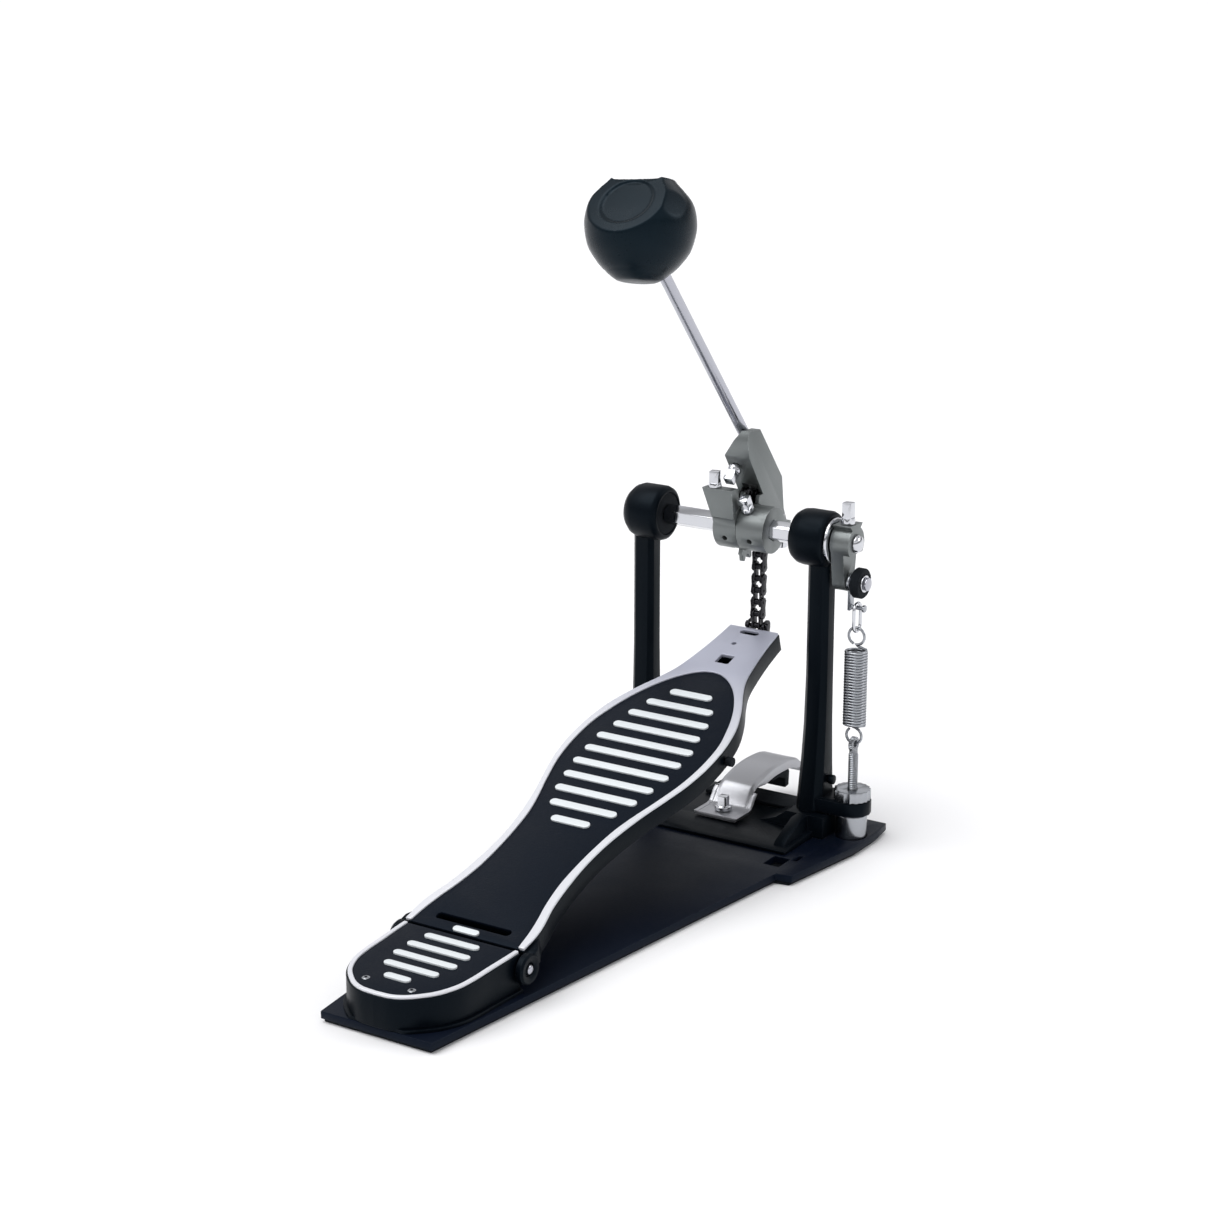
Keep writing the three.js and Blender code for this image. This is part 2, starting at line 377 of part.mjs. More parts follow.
// ---- footboard ----
const OUT = [[0.9, 33.0], [12, 32.9], [20, 31.8], [33, 28.7], [48, 26.8], [64, 25.8], [78, 26.2], [90, 27.6], [100, 29.4], [110, 31.6], [122, 34.9], [137, 38.6], [152, 40.5], [166, 40.6], [178, 39.4], [190, 36.8], [204, 31.4], [217, 25.0], [228, 20.6], [242, 17.8], [258, 15.7], [BOARD_L, 14.5]];
const INL = [[3.2, 29.4], [12, 28.7], [22, 26.9], [32, 24.6], [47, 22.6], [63, 22.0], [78, 22.6], [93, 24.4], [106, 27.4], [119, 31.2], [136, 35.4], [153, 37.2], [170, 36.8], [183, 34.2], [195, 30.4], [206, 25.6], [216, 19.6], [224, 12.4], [228.5, 5.5]];
const BARS = [12.1, 19.2, 23.0, 24.9, 27.6, 27.5, 27.2, 25.4, 23.1, 18.8, 10.8]; // half lengths, toe end first
{
  const g = new THREE.Group();
  g.position.set(0, HINGE_Y, HINGE_Z);
  g.rotation.x = rad(SLOPE);
  root.add(g);
  const outl = smoothOutline(OUT, 36, 0, BOARD_L);
  const inner = smoothOutline(OUT.map(([s, w]) => [Math.min(Math.max(s, 4), BOARD_L - 3), w - 3]), 22, 4, BOARD_L - 3);
  const inl = smoothOutline(INL, 28, 0, 229);
  let m = join(slab(outl, -SKIRT, 0));
  m = m.subtract(toM(slab(inner, -SKIRT - 1, -BOARD_T - 0.8)));
  m = m.subtract(toM(slab(inl, -0.8, 1)));
  m = m.subtract(toM(box(-29.6, 29.6, -2, 13, -SKIRT - 1, -2.8)));
  BARS.forEach((w, i) => { m = m.add(toM(capsule(w, 2.1, 92.3 + 11.48 * (10 - i), -1.2, 0.15))); });
  // transverse slot near the heel, square hole and chain slot near the toe
  m = cut(m, box(-20.5, 20.5, 7.2, 11, -9, -0.01 + 0.02 - 0.6), box(-20.5, 20.5, 7.2, 11, -5, 1), box(-3.6, 3.6, 238.6, 245.8, -9, 1), capsule(4.6, 1.5, 268.6, -9, 1));
  // pockets open towards the heel so that the inside is not sealed
  // hinge ears, in board coordinates
  const c = Math.cos(rad(SLOPE)), s = Math.sin(rad(SLOPE));
  const dy = PIN_Y - HINGE_Y, dz = PIN_Z - HINGE_Z;
  const ey = dy * c + dz * s, ez = -dy * s + dz * c;
  for (const sx of [-1, 1]) {
    const x0 = sx > 0 ? 33.1 : -37.6, x1 = sx > 0 ? 37.6 : -33.1;
    const disc = at(new THREE.CylinderGeometry(8.8, 8.8, x1 - x0, 28), (x0 + x1) / 2, ey, ez, 0, 0, 90);
    const arm = box(sx > 0 ? 30.2 : -37.6, sx > 0 ? 37.6 : -30.2, 2.6, 12, -SKIRT, -1.6);
    m = m.add(toM(disc)).add(toM(arm));
    m = m.subtract(toM(at(new THREE.CylinderGeometry(3 + GAP, 3 + GAP, 30, 20), sx * 35, ey, ez, 0, 0, 90)));
  }
  // heel-side clearance round the heel block
  add('footboard', solid(m), 'silver', g);
  // small rubber stop on the right side of the board
  add('board_stop', solid(join(cylX(2.4, 40.9, 44.4, 170, -7.2, 14), cylX(1.5, 40.7, 41.2, 170, -7.2, 12))), 'rubber', g);
}
// clevis on the toe that holds the chain end, in board coordinates
{
  const g = new THREE.Group();
  g.position.set(0, HINGE_Y, HINGE_Z);
  g.rotation.x = rad(SLOPE);
  root.add(g);
  const c = Math.cos(rad(SLOPE)), s = Math.sin(rad(SLOPE));
  const ps = (TOE_Y - HINGE_Y) * c + (TOE_Z - HINGE_Z) * s, pn = -(TOE_Y - HINGE_Y) * s + (TOE_Z - HINGE_Z) * c;
  const f = BOARD_L + GAP; // front face of the toe
  const ear = (x0, x1) => orient(slabX([[f, -9.6], [f + 2.4, -9.6], [ps + 4.0, pn - 2.4], [ps + 4.6, pn - 0.2], [ps + 4.0, pn + 1.7], [ps + 2.2, pn + 2.7], [ps - 1.0, pn + 2.7], [f, pn + 1.6]], x0, x1));
  let m = toM(ear(4.0, 5.2)).add(toM(ear(-5.2, -4.0))).add(toM(box(-5.2, 5.2, f, f + 1.4, -9.6, -4.8)));
  m = m.subtract(toM(cylX(1.0 + GAP, -8, 8, ps, pn, 14))).subtract(toM(box(-8, 8, ps, ps + 1.5, pn - 1.05, pn + 1.05))).subtract(toM(cylX(1.05, -8, 8, ps + 1.5, pn, 14)));
  add('toe_clevis', solid(m), 'steel', g);
  add('toe_pin', orient(solid(join(cylX(0.8, -6.6, 6.6, TOE_Y, TOE_Z, 12), cylX(1.9, 5.5, 6.6, TOE_Y, TOE_Z, 12), cylX(1.9, -6.6, -5.5, TOE_Y, TOE_Z, 12)))), 'chrome');
}

// ---- heel block ----
const HEEL = [[-66.0, 0], [-65.6, 8], [-62.8, 14.5], [-58.0, 20.4], [-51.5, 25.8], [-42, 29.8], [-32, 31.2], [-21, 31.6], [-10, 32.2], [-1.0, 32.5]];
const HEEL_IN = [[-61.2, 0], [-60.6, 7.5], [-57.6, 13.2], [-52.6, 18.6], [-46, 23.2], [-38, 26.0], [-28, 27.6], [-16, 28.6], [-6, 29.4], [-3.6, 29.5]];
const HBARS = [[2.3, 6.9], [-7.8, 14.8], [-17.9, 17.0], [-28.0, 17.15], [-38.2, 14.7], [-48.3, 7.0]];
{
  const out = (tab, dy = 0) => { const right = tab.map(([s, w]) => [w, s]); const left = right.slice(1).reverse().map(([x, s]) => [-x, s]); return [...right.slice(0), ...left].map(([x, s]) => [x, s + dy]); };
  const c = Math.cos(rad(HEEL_SLOPE)), sn = Math.sin(rad(HEEL_SLOPE));
  const tilt = (g) => { const o = g.clone(); o.applyMatrix4(new THREE.Matrix4().makeRotationX(rad(HEEL_SLOPE))); o.translate(0, HINGE_Y, HINGE_Z); return o; };
  let body = toM(orient(slab(out(HEEL, HINGE_Y), FZ, 40)));
  body = body.intersect(toM(tilt(box(-60, 60, -90, 20, -30, 0))));
  body = body.subtract(toM(tilt(orient(slab(out(HEEL_IN), -0.8, 3)))));
  HBARS.forEach(([s, w]) => { if (s < 0) body = body.add(toM(tilt(capsule(w, 1.9, s, -1.6, 0.15)))); });
  // hinge pin bore and relief for the board end
  body = body.subtract(toM(cylX(3 + GAP, -40, 40, PIN_Y, PIN_Z, 20)));
  body = body.subtract(toM(box(-40, 40, HINGE_Y - 0.9, HINGE_Y + 10, 0, 30)));
  // pin lugs in front of the block, under the board
  const lug = (x0, x1) => slabX([[-256, FZ], [-256, 13], [-254, 18.5], [-251.6, 20.6], [-247.6, 20.6], [-244.6, 18], [-243.4, 13], [-243.4, FZ]], x0, x1);
  body = body.add(toM(orient(lug(-26, -14)))).add(toM(orient(lug(14, 26))));
  body = body.subtract(toM(cylX(3 + GAP, -40, 40, PIN_Y, PIN_Z, 20)));
  const scr = (x, s) => [x, HINGE_Y + s * c, HINGE_Z + s * sn];
  for (const x of [-12.5, 12.5]) { const [sx, sy, sz] = scr(x, -54.6 + 0.0); body = body.subtract(toM(cylZ(2.6, sz - 9, sz + 5, sx, sy, 16))); }
  add('heel_block', solid(body), 'black');
  for (const [n, x] of [['heel_screw_left', -12.5], ['heel_screw_right', 12.5]]) {
    const [sx, sy, sz] = scr(x, -54.6);
    let s = join(cylZ(2.3, sz - 2.6, sz - 0.9, sx, sy, 16), cylZ(1.5, sz - 8.6, sz - 2.5, sx, sy, 12)).subtract(toM(at(new THREE.CylinderGeometry(1.1, 1.1, 2, 6), sx, sy, sz - 1.2, 90, 0, 0)));
    add(n, solid(s), 'zinc');
  }
  add('hinge_pin', solid(join(cylX(3, -38.4, 38.4, PIN_Y, PIN_Z, 20))), 'steel');
}

// ---- hoop clamp ----
{
  const t0 = CAST_TOP + GAP;
  const top = [[-27.5, t0 + 2.5], [-13.5, t0 + 2.7], [-10.6, t0 + 4.6], [-5.2, 20.4], [0.5, 23.2], [13.5, 25.9], [24, 26.4], [34, 25.8], [42, 23.6], [47.5, 19.6], [50.6, 15.2]];
  const n = top.length;
  const low = top.map(([y, z], k) => { const a = top[Math.max(0, k - 1)], b = top[Math.min(n - 1, k + 1)]; const L = Math.hypot(b[0] - a[0], b[1] - a[1]); return [y + ((b[1] - a[1]) / L) * 2.4, z - ((b[0] - a[0]) / L) * 2.4]; }).reverse();
  let strap = toM(orient(slabX([...top, ...low], CLAMP_X - 10.6, CLAMP_X + 10.6)));
  const wall = (x0, x1) => orient(slabX([[-4.5, 19.5], [0.5, 22.6], [13.5, 25.2], [24, 25.8], [34, 25.2], [42, 23], [46.5, 19.6], [48.6, 16.6], [44, 17.4], [38, 19.6], [28, 20.6], [16, 20.2], [7, 17.4], [1, 13.6]], x0, x1));
  strap = strap.add(toM(wall(CLAMP_X + 8.6, CLAMP_X + 10.6))).add(toM(wall(CLAMP_X - 10.6, CLAMP_X - 8.6)));
  strap = cut(strap, cylZ(3.3, 0, 40, CLAMP_X, CLAMP_Y, 16));
  add('hoop_clamp', solid(strap), 'silver');
  add('clamp_screw', solid(join(cylZ(2.6, PLATE_Z1 + GAP, t0 + 4, CLAMP_X, CLAMP_Y, 16), cylZ(4.4, t0 + 2.9, t0 + 4.9, CLAMP_X, CLAMP_Y, 18), box(CLAMP_X - 2.3, CLAMP_X + 2.3, CLAMP_Y - 2.3, CLAMP_Y + 2.3, t0 + 4.7, t0 + 10.4))), 'chrome');
  add('clamp_pad', orient(slabX([[17, 22.6], [34, 22.8], [37, 17.5], [36.4, 9.8], [32.6, 9.4], [32, 14.6], [27, 17.2], [17, 17.4]], CLAMP_X - 8.2, CLAMP_X + 8.2)), 'rubber');
}

// ---- rocker and return spring ----
{
  const bz = AXLE_Z - ARM;
  const body = circleYZ(8.6, -150, -30, 0);
  const outline = [];
  for (let i = 0; i <= 14; i++) { const a = rad(-38 + (98 * i) / 14); outline.push([8.6 * Math.cos(a), AXLE_Z + 8.6 * Math.sin(a)]); }
  outline.push([6.5, 169.6], [-6.5, 169.6]);
  for (let i = 0; i <= 14; i++) { const a = rad(120 + (98 * i) / 14); outline.push([8.6 * Math.cos(a), AXLE_Z + 8.6 * Math.sin(a)]); }
  const arm = [];
  arm.push([7.4, 157], [-7.4, 157]);
  for (let i = 0; i <= 10; i++) { const a = rad(190 + (160 * i) / 10); arm.push([5.2 * Math.cos(a), bz + 0.2 + 5.2 * Math.sin(a)]); }
  let m = toM(orient(slabX(outline, 54, 64.4))).add(toM(orient(slabX(arm, 54, 61))));
  m = cut(m, cylX(JOURNAL_R + GAP, 50, 70, 0, AXLE_Z, 24), cylX(2.5 + GAP, 50, 70, 0, bz, 20), cylZ(2.3, 165.6, 175, 59.6, 0, 14));
  add('rocker', solid(m), 'cast');
  add('rocker_key_screw', solid(join(cylZ(2.0, 166, 170, 59.6, 0, 12), coneZ(3.8, 3.3, 169.9, 172.8, 59.6, 0, 16), box(57.2, 62.0, -2.4, 2.4, 172.6, 180.6))), 'chrome');
  add('rocker_end_screw', orient(at(latheZ([[0, 64.7], [4.6, 64.7], [4.6, 65.5], [3.8, 66.6], [2.2, 67.4], [0, 67.7]], 20), 0, 0, AXLE_Z, 0, 90, 0)), 'chrome');
  add('rocker_pin', solid(join(cylX(2.5, 54.2, 70.8, 0, bz, 20), cylX(3.4, 70.6, 72.0, 0, bz, 20))), 'steel');
  add('hanger_bearing', orient(at(latheZ([[4.4 + GAP, 64.8], [7.2, 64.8], [7.75, 65.4], [7.75, 69.0], [7.2, 69.6], [4.4 + GAP, 69.6], [4.4 + GAP, 64.8]], 28), 0, 0, bz, 0, 90, 0)), 'rubber');
  add('hanger_hub', orient(at(latheZ([[2.5 + GAP, 64.4], [4.4, 64.4], [4.4, 70.2], [2.5 + GAP, 70.2], [2.5 + GAP, 64.4]], 24), 0, 0, bz, 0, 90, 0)), 'steel');
  // hanger yoke: strap with an eye round the rocker pin and a cross pin under the bearing
  const leg = [];
  for (let i = 0; i <= 12; i++) { const a = rad(-60 + (300 * i) / 12); leg.push([4.6 * Math.cos(a), bz + 4.6 * Math.sin(a)]); }
  leg.push([-2.2, 125.4], [2.2, 125.4]);
  let y = toM(orient(slabX(leg, 61.5, 62.9))).add(toM(cylX(1.1, 62, 70.2, 0, 127, 12))).add(toM(cylX(1.9, 69.2, 70.4, 0, 127, 14)));
  y = cut(y, cylX(2.5 + GAP, 60, 64, 0, bz, 20));
  add('hanger_yoke', solid(y), 'zinc');
  // oval link in the YZ plane
  const oval = (W, H, r, zc) => {
    const pts = [], n = 8, R = W / 2 - r, h = H / 2 - r - R;
    for (let i = 0; i <= n; i++) { const a = rad(0 + (180 * i) / n); pts.push(new THREE.Vector3(SPR_X, R * Math.cos(a), zc + h + R * Math.sin(a))); }
    for (let i = 0; i <= n; i++) { const a = rad(180 + (180 * i) / n); pts.push(new THREE.Vector3(SPR_X, R * Math.cos(a), zc - h + R * Math.sin(a))); }
    const c = pts.length, rings = pts.map((p, i) => {
      const a = pts[(i + c - 1) % c], b = pts[(i + 1) % c];
      const t = new THREE.Vector3().subVectors(b, a).normalize(), nn = new THREE.Vector3(1, 0, 0), bb = new THREE.Vector3().crossVectors(t, nn).normalize();
      return Array.from({ length: 8 }, (_, k) => { const q = (k / 8) * 2 * Math.PI; const v = p.clone().addScaledVector(nn, r * Math.cos(q)).addScaledVector(bb, r * Math.sin(q)); return [v.x, v.y, v.z]; });
    });
    const pos = [];
    for (let i = 0; i < c; i++) for (let k = 0; k < 8; k++) {
      const A = rings[i][k], B = rings[i][(k + 1) % 8], C = rings[(i + 1) % c][(k + 1) % 8], D = rings[(i + 1) % c][k];
      pos.push(...A, ...B, ...C, ...A, ...C, ...D);
    }
    const gg = new THREE.BufferGeometry();
    gg.setAttribute('position', new THREE.BufferAttribute(new Float32Array(pos), 3));
    return orient(gg);
  };
  add('hanger_link', oval(9.0, 16.4, 0.9, 121.95), 'zinc');
  // spring: close-wound body with an end loop above and a hook loop below
  const z0 = 64.6, z1 = 105, turns = 9, prof = [];
  prof.push([4.5, z0]);
  for (let i = 0; i < turns; i++) { const a = z0 + ((z1 - z0) * i) / turns, h = (z1 - z0) / turns; prof.push([5.7, a + 0.02], [6.2, a + h * 0.5]); }
  prof.push([5.7, z1], [4.5, z1], [4.5, z0]);
  const tube = orient(at(latheZ(prof, 16), SPR_X, 0, 0));
  let s = toM(tube).add(toM(orient(torus(4.45, 0.75, 'XZ', SPR_X, 0, 112.1, 6, 16)))).add(toM(orient(torus(4.3, 0.75, 'XZ', SPR_X, 0, 59.2, 6, 16))));
  s = s.add(toM(cylZ(0.9, 104.4, 107.9, SPR_X, 0, 10))).add(toM(cylZ(0.9, 63.2, 65.6, SPR_X, 0, 10))).add(toM(box(SPR_X - 5.4, SPR_X + 5.4, -0.8, 0.8, 103.4, 105))).add(toM(box(SPR_X - 5.4, SPR_X + 5.4, -0.8, 0.8, 64.6, 66)));
  add('return_spring', solid(s), 'zinc');
  // threaded rod with a flattened eye
  const eye = join(cylX(3.9, SPR_X - 1.1, SPR_X + 1.1, 0, 54.6, 20), box(SPR_X - 1.1, SPR_X + 1.1, -2.6, 2.6, 47, 52), cylZ(2.5, 4.2, 49.2, SPR_X, 0, 16)).subtract(toM(cylX(1.9, 60, 72, 0, 54.9, 16)));
  add('spring_rod', solid(eye), 'zinc');
  const kn = [];
  for (let i = 0; i < 36; i++) { const a = (i / 36) * 2 * Math.PI, r = i % 2 ? 9.5 : 8.9; kn.push([SPR_X + r * Math.cos(a), r * Math.sin(a)]); }
  add('tension_nut', solid(cut(toM(slab(kn, 25.2, 30.8)), cylZ(2.5 + GAP, 20, 40, SPR_X, 0, 20))), 'zinc');
  const sl = [[2.5 + GAP, 1.8], [7.3, 1.8], [7.9, 2.4], [7.9, 17.0], [7.4, 17.6], [2.5 + GAP, 17.6], [2.5 + GAP, 1.8]];
  add('tension_sleeve', orient(at(latheZ(sl, 28), SPR_X, 0, 0)), 'zinc');
}

export default root;
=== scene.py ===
import bpy, bmesh, math
from mathutils import Matrix, Vector
from mathutils.geometry import tessellate_polygon


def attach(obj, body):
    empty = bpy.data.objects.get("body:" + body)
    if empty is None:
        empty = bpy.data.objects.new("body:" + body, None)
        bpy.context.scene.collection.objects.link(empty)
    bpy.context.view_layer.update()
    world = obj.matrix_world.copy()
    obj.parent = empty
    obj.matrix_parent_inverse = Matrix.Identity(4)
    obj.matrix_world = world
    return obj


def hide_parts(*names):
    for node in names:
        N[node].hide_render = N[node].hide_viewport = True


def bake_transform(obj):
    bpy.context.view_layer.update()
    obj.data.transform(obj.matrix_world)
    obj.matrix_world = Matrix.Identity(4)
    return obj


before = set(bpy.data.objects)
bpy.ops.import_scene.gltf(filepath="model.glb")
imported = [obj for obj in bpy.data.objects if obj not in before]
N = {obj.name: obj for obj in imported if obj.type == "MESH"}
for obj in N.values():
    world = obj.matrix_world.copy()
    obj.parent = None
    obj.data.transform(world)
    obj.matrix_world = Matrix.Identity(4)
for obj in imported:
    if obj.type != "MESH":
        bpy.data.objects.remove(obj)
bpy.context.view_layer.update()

MM = 0.001
rad = math.radians
I4 = Matrix.Identity(4)
coll = bpy.context.scene.collection

# ------------------------------------------------------------------ camera
az, el, dist = rad(32.873), rad(16.454), 1.27902
target = Vector((-0.0000675, -0.132107, 0.151105))
cam = bpy.data.cameras.new("camera")
camo = bpy.data.objects.new("camera", cam)
coll.objects.link(camo)
camo.location = target + Vector((math.sin(az) * math.cos(el), -math.cos(az) * math.cos(el), math.sin(el))) * dist
camo.rotation_euler = (target - camo.location).to_track_quat("-Z", "Y").to_euler()
cam.lens, cam.sensor_width = 80.63, 36
cam.clip_start, cam.clip_end = 0.05, 400
bpy.context.scene.camera = camo

# ------------------------------------------------------------------ materials
def new_mat(name):
    m = bpy.data.materials.new(name)
    m.use_nodes = True
    nt = m.node_tree
    nt.nodes.clear()
    out = nt.nodes.new("ShaderNodeOutputMaterial")
    b = nt.nodes.new("ShaderNodeBsdfPrincipled")
    nt.links.new(b.outputs[0], out.inputs[0])
    return m, nt, b

def surface(name, color, rough, metal=0.0, var=0.12, rvar=0.08, grain=900.0, bump=0.08, bdist=0.00025,
            edge=None, edge_amt=0.5, edge_r=0.0006, coat=0.0, coat_rough=0.2, smudge=28.0, stretch=(1, 1, 1), spec=None, scratches=0.0):
    """Painted, cast or plated surface: slow colour and gloss drift, fine grain, edges lightened partly as wear and
    partly as painted edge highlight.
    """
    m, nt, b = new_mat(name)
    L, nn = nt.links, nt.nodes
    tc = nn.new("ShaderNodeTexCoord")
    mp = nn.new("ShaderNodeMapping")
    mp.inputs["Scale"].default_value = stretch
    L.new(tc.outputs["Object"], mp.inputs["Vector"])
    big = nn.new("ShaderNodeTexNoise"); big.inputs["Scale"].default_value = smudge
    big.inputs["Detail"].default_value = 5; big.inputs["Roughness"].default_value = 0.6
    fine = nn.new("ShaderNodeTexNoise"); fine.inputs["Scale"].default_value = grain
    fine.inputs["Detail"].default_value = 3
    for t in (big, fine):
        L.new(mp.outputs[0], t.inputs["Vector"])
    ramp = nn.new("ShaderNodeMix"); ramp.data_type = "RGBA"
    c = Vector(color)
    ramp.inputs[6].default_value = (*[max(0, x * (1 - var)) for x in c], 1)
    ramp.inputs[7].default_value = (*[min(1, x * (1 + var)) for x in c], 1)
    L.new(big.outputs["Fac"], ramp.inputs[0])
    col = ramp.outputs[2]
    r = nn.new("ShaderNodeMapRange")
    r.inputs["From Min"].default_value = 0.3; r.inputs["From Max"].default_value = 0.7
    r.inputs["To Min"].default_value = max(0.02, rough - rvar); r.inputs["To Max"].default_value = rough + rvar
    mixn = nn.new("ShaderNodeMath"); mixn.operation = "MULTIPLY_ADD"
    mixn.inputs[1].default_value = 0.35
    L.new(fine.outputs["Fac"], mixn.inputs[0]); 
    sc = nn.new("ShaderNodeMath"); sc.operation = "MULTIPLY"; sc.inputs[1].default_value = 0.65
    L.new(big.outputs["Fac"], sc.inputs[0]); L.new(sc.outputs[0], mixn.inputs[2])
    L.new(mixn.outputs[0], r.inputs["Value"])
    L.new(r.outputs[0], b.inputs["Roughness"])
    # painted edge highlight mixed with wear: bevelled edges take the lighter edge colour, broken up by fine noise
    if edge is not None:
        bev = nn.new("ShaderNodeBevel"); bev.samples = 4; bev.inputs["Radius"].default_value = edge_r
        geo = nn.new("ShaderNodeNewGeometry")
        dot = nn.new("ShaderNodeVectorMath"); dot.operation = "DOT_PRODUCT"
        L.new(bev.outputs[0], dot.inputs[0]); L.new(geo.outputs["Normal"], dot.inputs[1])
        em = nn.new("ShaderNodeMapRange")
        em.inputs["From Min"].default_value = 0.985; em.inputs["From Max"].default_value = 0.80
        em.inputs["To Min"].default_value = 0; em.inputs["To Max"].default_value = edge_amt
        L.new(dot.outputs["Value"], em.inputs["Value"])
        mul = nn.new("ShaderNodeMath"); mul.operation = "MULTIPLY"
        L.new(em.outputs[0], mul.inputs[0])
        nr = nn.new("ShaderNodeMapRange"); nr.inputs["From Min"].default_value = 0.42; nr.inputs["From Max"].default_value = 0.6
        L.new(fine.outputs["Fac"], nr.inputs["Value"]); L.new(nr.outputs[0], mul.inputs[1])
        me = nn.new("ShaderNodeMix"); me.data_type = "RGBA"
        L.new(mul.outputs[0], me.inputs[0]); L.new(col, me.inputs[6]); me.inputs[7].default_value = (*edge, 1)
        col = me.outputs[2]
    L.new(col, b.inputs["Base Color"])
    b.inputs["Metallic"].default_value = metal
    if spec is not None:
        b.inputs["Specular IOR Level"].default_value = spec
        b.inputs["Specular Tint"].default_value = (0.62, 0.82, 1.0, 1)
    if coat:
        b.inputs["Coat Weight"].default_value = coat; b.inputs["Coat Roughness"].default_value = coat_rough
    bp = nn.new("ShaderNodeBump"); bp.inputs["Strength"].default_value = bump; bp.inputs["Distance"].default_value = bdist
    h = fine.outputs["Fac"]
    if scratches:
        w = nn.new("ShaderNodeTexNoise"); w.inputs["Scale"].default_value = 260; w.inputs["Detail"].default_value = 2
        ms = nn.new("ShaderNodeMapping"); ms.inputs["Scale"].default_value = (0.08, 1, 3)
        L.new(tc.outputs["Object"], ms.inputs["Vector"]); L.new(ms.outputs[0], w.inputs["Vector"])
        ad = nn.new("ShaderNodeMath"); ad.operation = "MULTIPLY_ADD"; ad.inputs[1].default_value = scratches
        L.new(w.outputs["Fac"], ad.inputs[0]); L.new(h, ad.inputs[2]); h = ad.outputs[0]
    L.new(h, bp.inputs["Height"]); L.new(bp.outputs[0], b.inputs["Normal"])
    return m

M = {}
M["paint"] = surface("black_powder_paint", (0.0013, 0.0024, 0.0042), 0.38, var=0.25, grain=1400, bump=0.16, edge=(0.04, 0.045, 0.06), edge_amt=0.4, spec=0.09)
M["plate"] = surface("black_plate_paint", (0.0019, 0.0036, 0.0100), 0.42, var=0.25, grain=1100, bump=0.22, edge=(0.05, 0.055, 0.07), edge_amt=0.45, spec=0.12)
M["panel"] = surface("black_grip_panel", (0.0022, 0.0038, 0.0085), 0.50, var=0.25, grain=1900, bump=0.45, bdist=0.0003, spec=0.11)
M["rubber"] = surface("black_rubber", (0.005, 0.005, 0.006), 0.75, var=0.25, grain=1600, bump=0.4, spec=0.2)
M["cast"] = surface("grey_die_casting", (0.185, 0.20, 0.20), 0.40, 0.85, var=0.10, grain=1300, bump=0.16, edge=(0.5, 0.52, 0.52), edge_amt=0.7, rvar=0.10)
M["trim"] = surface("silver_trim", (0.68, 0.69, 0.73), 0.38, 0.25, var=0.05, grain=1500, bump=0.10, edge=(0.8, 0.8, 0.84), edge_amt=0.5, scratches=0.3)
M["bars"] = surface("bright_bars", (0.70, 0.74, 0.76), 0.42, 0.20, var=0.03, grain=1500, bump=0.10, coat=0.3)
M["clamp"] = surface("satin_nickel_clamp", (0.42, 0.425, 0.45), 0.36, 0.85, var=0.06, grain=900, bump=0.08, edge=(0.8, 0.8, 0.82), edge_amt=0.5, scratches=0.5)
M["chrome"] = surface("chrome_plate", (0.60, 0.61, 0.64), 0.10, 1.0, var=0.03, rvar=0.03, grain=700, bump=0.015)
M["steel"] = surface("bright_steel", (0.43, 0.435, 0.48), 0.22, 1.0, var=0.06, rvar=0.06, grain=900, bump=0.03, scratches=0.4)
M["zinc"] = surface("zinc_plate", (0.36, 0.375, 0.40), 0.24, 1.0, var=0.06, rvar=0.05, grain=900, bump=0.012, smudge=60)
M["chain"] = surface("black_oxide_steel", (0.020, 0.020, 0.023), 0.26, 0.9, var=0.3, grain=1500, bump=0.06, edge=(0.20, 0.20, 0.21), edge_amt=0.7, edge_r=0.00025)
M["beater"] = surface("beater_plastic", (0.0020, 0.0058, 0.0092), 0.30, 0.0, var=0.3, rvar=0.07, grain=800, bump=0.04, smudge=45, spec=0.15)

def threaded(name, base, pitch):
    """A metal with a fine screw thread along Z, as bump."""
    m = base.copy(); m.name = name
    nt = m.node_tree; nn, L = nt.nodes, nt.links
    b = [x for x in nn if x.type == "BSDF_PRINCIPLED"][0]
    tc = nn.new("ShaderNodeTexCoord"); sep = nn.new("ShaderNodeSeparateXYZ")
    L.new(tc.outputs["Object"], sep.inputs[0])
    s = nn.new("ShaderNodeMath"); s.operation = "MULTIPLY"; s.inputs[1].default_value = 2 * math.pi / pitch
    L.new(sep.outputs["Z"], s.inputs[0])
    w = nn.new("ShaderNodeMath"); w.operation = "SINE"; L.new(s.outputs[0], w.inputs[0])
    bp = nn.new("ShaderNodeBump"); bp.inputs["Strength"].default_value = 1.0; bp.inputs["Distance"].default_value = 0.00025
    L.new(w.outputs[0], bp.inputs["Height"]); L.new(bp.outputs[0], b.inputs["Normal"])
    return m
M["thread"] = threaded("threaded_zinc", M["zinc"], 0.001)

